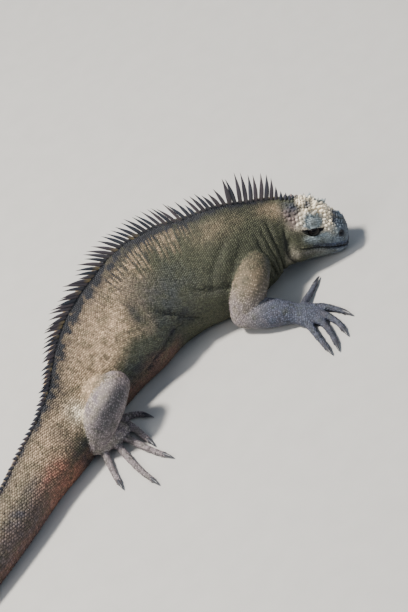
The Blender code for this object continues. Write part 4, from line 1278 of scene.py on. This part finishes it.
# %% [markdown]
# ## Scales of the head
#
# On a living animal these are of several kinds. Cones crowd the crown and stand highest
# between the eyes. Larger blunt ones sit in a patch on each temple. Long plates border
# the lips, and fine grains cover cheek, throat and lids. Each kind is a lattice of its
# own over its part of the head.

# %% Cones of the crown and temples
head = trunk_s < 71.0


def head_spots(pitch, reach, stray=0.16):
    """Places over the head for one kind of scale, each one's angle from the back and its
    place in the head."""
    spots = settle(lattice(trunk_rings[head], trunk_s[head], pitch, lambda s: 0.86, stray), reach, 0)
    return spots, from_back(spots["angle"]), in_head(spots["place"])


def in_temple(a, spot):
    """Where the temple's large scales are: behind the brow, beside the crown."""
    return (a >= 0.42) & (a < 0.84) & (spot[:, 0] > 46.5) & (spot[:, 0] < 65.0)


def on_crown(a, spot, front):
    """Where the crown is, from a distance behind the snout on, without lids and brows."""
    lid = np.linalg.norm(spot - EYE, axis=1) <= 9.4
    brow = np.linalg.norm((spot - BROW) / (9.0, 9.0, 5.5), axis=1) < 1.0
    return (a < 0.86) & (spot[:, 0] > front) & (spot[:, 0] < 66.0) & ~lid & ~brow


def crown_pitch(s):
    """Millimetres from cone to cone: widest between the eyes."""
    return 2.9 + 1.3 * math.exp(-((s - 36.0) / 15.0) ** 2)


crown, a, spot = head_spots(crown_pitch, 4.5, 0.3)
chosen = on_crown(a, spot, 7.0) & ~in_temple(a, spot)
crown = only(crown, chosen)
tall = 0.55 + 0.75 * bump(spot[chosen, 0], 38.0, 17.0) * (1.0 - 0.5 * ease(a[chosen], 0.5, 0.86))
crown["pitch"] = crown["pitch"] * rng.uniform(0.7, 1.15, len(tall))
make_scales("crown_cones", crown, CONE, 0.52, 0.5, 1.1, crust_material,
            lift=tall * rng.uniform(0.6, 1.2, len(tall)))

temple, a, spot = head_spots(lambda s: 4.3, 4.5, 0.25)
temple = only(temple, in_temple(a, spot))
make_scales("temple_cones", temple, CONE, 0.5, 0.5, 0.62, crust_material)
print("cones", len(crown["s"]) + len(temple["s"]))

# %% Fine grains of the face
grains, a, spot = head_spots(lambda s: 1.5, 5.0)
mouth = (np.abs(mouth_height(spot)) < 1.2) & (spot[:, 0] < 50.0)
slit = in_lens(spot) > -0.4
pit = np.linalg.norm(spot - NOSTRIL, axis=1) < 2.2
ear = np.linalg.norm((spot - EAR) / (3.0, 9.0, 4.2), axis=1) < 1.0
grains = only(grains, ~(mouth | slit | pit | ear | on_crown(a, spot, 9.0)))
make_scales("face_grains", grains, GRAIN, 0.54, 0.5, 0.26, scale_material)

# %% Plates along the lips
# Each row's height over the mouth's line and the pitch of its plates.
LIP_ROWS = [(2.1, 3.0), (-2.1, 2.8), (4.1, 2.6), (-4.0, 2.6)]
lip_rows = []
for way in (-1.0, 1.0):
    for offset, pitch in LIP_ROWS:
        s = np.arange(1.6, 48.0, pitch)
        sections = smooth(STATION, TABLE, s)
        level = np.interp(s, MOUTH_BACK, MOUTH_UP) + offset
        reach = np.where(level > 0, sections[:, 4], sections[:, 5])
        angle = np.arccos(np.clip(level / reach, -0.98, 0.98))
        angle = angle if way > 0 else 2 * math.pi - angle
        points = body_surface(s, angle[:, None], -COAT)[:, 0]
        back = np.tile(-head_axes()[0], (len(s), 1))
        lip_rows.append(np.column_stack([points, s, angle, np.full(len(s), pitch), back]))
lips = settle(np.vstack(lip_rows), 4.0, 0)
make_scales("lip_plates", lips, PLATE, 0.5, 0.36, 0.2, scale_material)
print("lip plates", len(lips["s"]))

# %% [markdown]
# ## The crest
#
# A row of horny spines runs from the nape to the end of the tail. They are flat from side
# to side and curve back a little, tallest at the nape and small on the tail. No two are
# alike: each leans in its own way, and a few are worn short. One spine could be modelled
# and copied, but here each is a stack of elliptical sections along its own curved axis.

# %% Where the spines stand
# Distance behind the snout, height, length and spacing in millimetres, and lean in degrees.
CREST = np.array([
    [58, 7.0, 2.6, 4.2, 0],
    [63, 9.0, 2.8, 4.6, -4],
    [67, 14.0, 3.4, 5.0, -8],
    [71, 27.0, 4.2, 5.2, -12],
    [76, 32.0, 4.6, 5.4, -13],
    [84, 33.0, 4.6, 5.4, -12],
    [102, 33.0, 4.6, 5.4, -4],
    [108, 22.0, 3.8, 5.0, 8],
    [122, 25.0, 3.5, 5.0, 10],
    [160, 28.0, 3.5, 5.0, 14],
    [200, 28.0, 3.5, 5.0, 30],
    [240, 27.0, 3.5, 5.0, 46],
    [290, 25.0, 3.5, 5.0, 52],
    [325, 20.0, 3.5, 5.0, 54],
    [350, 15.0, 3.5, 5.0, 54],
    [375, 9.0, 3.5, 5.0, 52],
    [400, 7.0, 3.5, 5.2, 50],
    [520, 5.5, 3.5, 6.0, 40],
    [700, 4.2, 3.1, 5.6, 36],
    [915, 2.4, 2.3, 4.0, 36],
])
spine_rng = np.random.default_rng(5)
ridge_s = np.arange(58.0, 914.0, 1.0)
ridge = body_surface(ridge_s, np.array([0.0]), -COAT)[:, 0]
ridge_length = np.concatenate([[0.0], np.cumsum(np.linalg.norm(np.diff(ridge, axis=0), axis=1))])
spine_at = [1.0]
while spine_at[-1] < ridge_length[-1] - 6.0:
    here = np.interp(spine_at[-1], ridge_length, ridge_s)
    gap = np.interp(here, CREST[:, 0], CREST[:, 3])
    spine_at.append(spine_at[-1] + float(gap) * spine_rng.uniform(0.93, 1.07))
spine_s = np.interp(spine_at, ridge_length, ridge_s)
count = len(spine_s)
print("spines", count)

# %% The spines' shape
LEVELS = 9
SIDES = 10
forward, left, up = body_frame(spine_s)[1:]
foot = body_surface(spine_s, np.array([0.0]), -COAT)[:, 0]
height, length, lean = [np.interp(spine_s, CREST[:, 0], CREST[:, column]) for column in (1, 2, 4)]
height = height * spine_rng.uniform(0.9, 1.03, count)
worn = (spine_rng.random(count) < 0.04) & (spine_s > 80.0)
height = np.where(worn, height * 0.6, height)
length = length * spine_rng.uniform(0.9, 1.1, count)
lean = np.radians(lean + spine_rng.normal(0.0, 2.6, count))[:, None]
sway = 0.1 + spine_rng.normal(0.0, 0.05, count)[:, None]
axis = up * np.cos(lean) - forward * np.sin(lean) + left * sway
fore = forward * np.cos(lean) + up * np.sin(lean)

# The axis bends back by a tenth of the height, and its root is sunk 2.2 mm in the skin. The
# section is an ellipse that bulges a little above the root and tapers to the tip.
t = np.linspace(0.0, 0.985, LEVELS)[None, :, None]
curve = height[:, None, None] * (t * axis[:, None] - 0.1 * t ** 2 * fore[:, None])
centre = foot[:, None] - 2.2 * axis[:, None] * (1 - t) ** 4 + curve
taper = (1 - t ** 2.2) * (0.86 + 0.3 * np.sin(math.pi * np.minimum(1.25 * t, 1.0)))
angle = np.linspace(0.0, 2 * math.pi, SIDES, endpoint=False)
along = 0.5 * length[:, None, None] * taper * np.cos(angle)
across = 0.27 * length[:, None, None] * taper * np.sin(angle)
rings = centre[:, :, None] + along[..., None] * fore[:, None, None]
rings = rings + across[..., None] * left[:, None, None]
tips = centre[:, -1:] + 0.3 * axis[:, None]
points = np.concatenate([rings.reshape(count, -1, 3), tips], axis=1)

per_spine = LEVELS * SIDES + 1
offsets = per_spine * np.arange(count)[:, None, None]
last = (LEVELS - 1) * SIDES
j = np.arange(SIDES)
top = np.column_stack([np.full(SIDES, per_spine - 1), last + j, last + (j + 1) % SIDES])
crest_mesh = fill_mesh("crest", points.reshape(-1, 3), [
    (grid_faces(LEVELS, SIDES)[None] + offsets).reshape(-1, 4),
    (top[None] + offsets).reshape(-1, 3),
])
print("faces of a spine", len(crest_mesh.polygons) // count)

# %% The spines' horn
tone = spine_rng.uniform(0.0, 1.0, count)
is_pale = (spine_rng.random(count) < 0.4) & (spine_s > 180.0)
pale = np.where(is_pale, spine_rng.uniform(0.3, 0.9, count), 0.08)
rise = np.tile(np.append(np.repeat(t[0, :, 0], SIDES), 1.0), count)
set_colours(crest_mesh, "spine", [rise, np.repeat(tone, per_spine), np.repeat(pale, per_spine)])
beside = np.tile(np.append(np.tile(np.cos(angle), LEVELS), 0.0), count)
# The map's width stands for this length of the body's axis.
MAP_SPAN = 960.0
set_bake_map(crest_mesh, np.column_stack([
    np.repeat(spine_s / MAP_SPAN, per_spine) + PATCH * beside,
    0.02 + 0.9 * rise,
]))

# Horn has a soft gloss. Some spines are straw yellow at the root, where the horn is young.
horn, tree, shader = new_material("Crest horn, keratin, dark and matt at the tip", 0.5, ior=1.55)
spine = add(tree, "ShaderNodeSeparateColor", {
    "Color": add(tree, "ShaderNodeAttribute", {}, attribute_name="spine").outputs["Color"]})
low = add(tree, "ShaderNodeMapRange", {"Value": spine.outputs[0], "From Min": 0.05, "From Max": 0.34,
                                       "To Min": 1.0, "To Max": 0.0})
base = add(tree, "ShaderNodeMath", {0: low.outputs[0], 1: spine.outputs[2]}, operation="MULTIPLY")
dark = add(tree, "ShaderNodeMix", {0: spine.outputs[1], 6: linear("#29303e"), 7: linear("#4d444a")},
           data_type="RGBA")
horn_colour = add(tree, "ShaderNodeMix", {0: base.outputs[0], 6: dark.outputs[2], 7: linear("#a08b5e")},
                  data_type="RGBA")
tree.links.new(horn_colour.outputs[2], shader.inputs["Base Color"])
crest = add_piece("crest", crest_mesh, horn)

# %% [markdown]
# ## Claws
#
# Each digit ends in a curved claw of horn, deeper than wide, bluish black with paler streaks
# where it is worn. It is a tube whose radius falls to a point, and stands for the plain
# claw of the solids.

# %% Claws
# A claw is worn smooth, so it shines more than the hide. Its streaks are 1.4 mm wide.
claw_horn, tree, shader = new_material("Claw horn, keratin, worn smooth", 0.36, ior=1.55)
space = add(tree, "ShaderNodeTexCoord", {}).outputs["Object"]
streaks = add(tree, "ShaderNodeTexNoise", {"Vector": space, "Scale": 700.0, "Detail": 3.0})
shade = add(tree, "ShaderNodeMix", {0: streaks.outputs["Fac"], 6: linear("#23252d"), 7: linear("#4a4a50")},
            data_type="RGBA")
tree.links.new(shade.outputs[2], shader.inputs["Base Color"])
relief = add(tree, "ShaderNodeBump", {
    "Height": streaks.outputs["Fac"], "Strength": 0.2, "Distance": 0.0002})
tree.links.new(relief.outputs["Normal"], shader.inputs["Normal"])
NODE_OF = {"arm": "hand", "leg": "foot"}
CLAW_LENGTH = 11.0
CLAW_RADIUS = 2.1


def claw_rings(end, heading):
    """Rings of a claw: its axis runs on from the digit, rises a little and bends down to the
    floor. Its radius falls from the root to the tip as a power of what is left."""
    t = np.linspace(0.0, 0.96, 16)
    reach = -1.4 + (CLAW_LENGTH + 1.6) * t
    path = np.column_stack([
        end[0] + reach * math.cos(heading),
        end[1] + reach * math.sin(heading),
        end[2] + 0.2 - 1.4 * t ** 2 + 3.0 * t ** 2 * (1 - t),
    ])
    radius = CLAW_RADIUS * (1 - t) ** 0.65 + 0.12
    rows = np.column_stack([path, radius, radius * 1.15])
    return tube(rows, count=16, around=14, grow=0.0, caps=2)


for limb_name, axes in digit_axes.items():
    kind, side_name = limb_name.split("_")
    points = []
    groups = []
    first = 0
    for rows in axes:
        last = rows[-1, :2] - rows[-3, :2]
        made, faces = closed_grid(claw_rings(rows[-1], math.atan2(last[1], last[0])), first)
        points.append(made)
        groups += faces
        first += len(made)
    mesh = fill_mesh("claws", np.vstack(points), groups)
    name = f"{NODE_OF[kind]}_{side_name}"
    claws = add_piece(f"{name}_claws", mesh, claw_horn)
    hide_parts(*[f"{name}_claw_{number}" for number in range(1, 6)])

# %% [markdown]
# ## Eyes
#
# The animal dozes, so only a sliver of each eye shows between the lids. The ball is a brown
# so dark that it looks black, with a black pupil, under a clear wet layer that gives a
# small highlight. It has the size of the solid's, with a slight swelling for the cornea.

# %% Eyes
EYE_RINGS = 28
EYE_AROUND = 40
POLE_GAP = 0.04
wet, tree, shader = new_material("Eyeball, dark brown iris under a wet cornea", 0.16, ior=1.38,
                                 specular=0.15)
shader.inputs["Coat Weight"].default_value = 0.15
shader.inputs["Coat Roughness"].default_value = 0.1
from_pupil = add(tree, "ShaderNodeAttribute", {}, attribute_name="from_pupil")
ramp = add(tree, "ShaderNodeValToRGB", {"Fac": from_pupil.outputs["Fac"]})
ramp.color_ramp.elements[0].position = 0.14
ramp.color_ramp.elements[0].color = linear("#050506")
ramp.color_ramp.elements[1].position = 0.2
ramp.color_ramp.elements[1].color = linear("#15100f")
rim = ramp.color_ramp.elements.new(0.42)
rim.color = linear("#101012")
tree.links.new(ramp.outputs["Color"], shader.inputs["Base Color"])

forward, left, upward = head_axes()
polar = np.linspace(POLE_GAP, math.pi - POLE_GAP, EYE_RINGS)[:, None, None]
turn = np.linspace(0.0, 2 * math.pi, EYE_AROUND, endpoint=False)[None, :, None]
cornea = EYE_RADIUS * (1.0 + 0.02 * bump(polar, 0.0, 0.5))
for side_name, way in (("right", -1.0), ("left", 1.0)):
    outward = way * left + 0.15 * upward + 0.2 * forward
    outward /= np.linalg.norm(outward)
    one = np.cross(outward, upward)
    one /= np.linalg.norm(one)
    other = np.cross(outward, one)
    rings = from_head(EYE, way) + cornea * (
        np.cos(polar) * outward + np.sin(polar) * (np.cos(turn) * one + np.sin(turn) * other))
    points, groups = closed_grid(rings)
    mesh = fill_mesh("eye", points, groups)
    values = np.concatenate([np.repeat(polar[:, 0, 0] / math.pi, EYE_AROUND), [0.0, 1.0]])
    layer = mesh.attributes.new("from_pupil", "FLOAT", "POINT")
    layer.data.foreach_set("value", values.astype(np.float32))
    eye = add_piece(f"eyeball_{side_name}", mesh, wet)
    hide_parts(f"eye_{side_name}")

# %% [markdown]
# ## Floor, light and camera
#
# The model lies on a level floor of pale paper. The camera is rolled by thirty degrees,
# which shows the animal as in the photo. A small warm lamp from the upper left stands for
# the sun. A larger one from the left fills its shadows, and a wide bluish one from the
# right and above stands for the sky. The world adds a little blue light from all sides.

# %% Floor
# Matt paper scatters the light evenly. Its clouds of fibre are 25 mm wide.
paper, tree, shader = new_material("Backdrop paper, matt, pale grey", 0.9, specular=0.2)
space = add(tree, "ShaderNodeTexCoord", {}).outputs["Object"]
fibre = add(tree, "ShaderNodeTexNoise", {"Vector": space, "Scale": 40.0, "Detail": 5.0})
tint = add(tree, "ShaderNodeMix", {0: fibre.outputs["Fac"], 6: linear("#b9b7b3"), 7: linear("#c3c1bd")},
           data_type="RGBA")
tree.links.new(tint.outputs[2], shader.inputs["Base Color"])
floor_mesh = bpy.data.meshes.new("floor")
floor_mesh.from_pydata([(-6, -6, 0), (6, -6, 0), (6, 6, 0), (-6, 6, 0)], [], [(0, 1, 2, 3)])
floor_mesh.materials.append(paper)
floor = link_object("floor", floor_mesh)
print("floor at Z = 0")

# %% Camera and light
ELEVATION = math.radians(38.0)
ROLL = math.radians(30.0)
# With the lens below, a picture 612 pixels high shows 1 mm of the animal in each pixel.
DISTANCE = 2.295
toward = np.array([0.0, -math.cos(ELEVATION), math.sin(ELEVATION)])
flat_up = np.array([0.0, math.sin(ELEVATION), math.cos(ELEVATION)])
right = math.cos(ROLL) * np.array([1.0, 0.0, 0.0]) - math.sin(ROLL) * flat_up
upward = math.sin(ROLL) * np.array([1.0, 0.0, 0.0]) + math.cos(ROLL) * flat_up
target = 0.052 * right + 0.030 * upward
place = target + DISTANCE * toward
camera_data = bpy.data.cameras.new("camera")
camera_data.lens = 135.0
camera_data.sensor_width = 36.0
camera = link_object("camera", camera_data)
turned = Matrix((right, upward, toward)).transposed().to_4x4()
turned.translation = place
camera.matrix_world = turned
bpy.context.scene.camera = camera


def lamp(name, direction, distance, size, energy, colour):
    """A square lamp that shines on the middle of the animal from a direction."""
    direction = np.array(direction) / np.linalg.norm(direction)
    light = bpy.data.lights.new(name, "AREA")
    light.size = size
    light.energy = energy
    light.color = colour
    held = link_object(name, light)
    side = np.cross([0.0, 1.0, 0.0], direction)
    side /= np.linalg.norm(side)
    held_turn = Matrix((side, np.cross(direction, side), direction)).transposed().to_4x4()
    held_turn.translation = np.array([0.0, -0.05, 0.05]) + distance * direction
    held.matrix_world = held_turn


lamp("sun", -0.8 * right + 0.62 * upward + 0.6 * toward, 2.6, 0.4, 150.0, (1.0, 0.95, 0.87))
lamp("fill", -0.7 * right - 0.1 * upward + 0.7 * toward, 2.6, 1.2, 24.0, (1.0, 0.98, 0.95))
lamp("sky", 0.5 * right + 0.5 * upward + 1.0 * toward, 3.0, 3.0, 18.0, (0.8, 0.9, 1.0))
world = bpy.data.worlds.new("studio")
world.use_nodes = True
world.node_tree.nodes["Background"].inputs["Color"].default_value = (0.62, 0.74, 0.95, 1.0)
world.node_tree.nodes["Background"].inputs["Strength"].default_value = 0.34
bpy.context.scene.world = world
print("camera", DISTANCE, "m away, rolled by", round(math.degrees(ROLL)), "degrees")
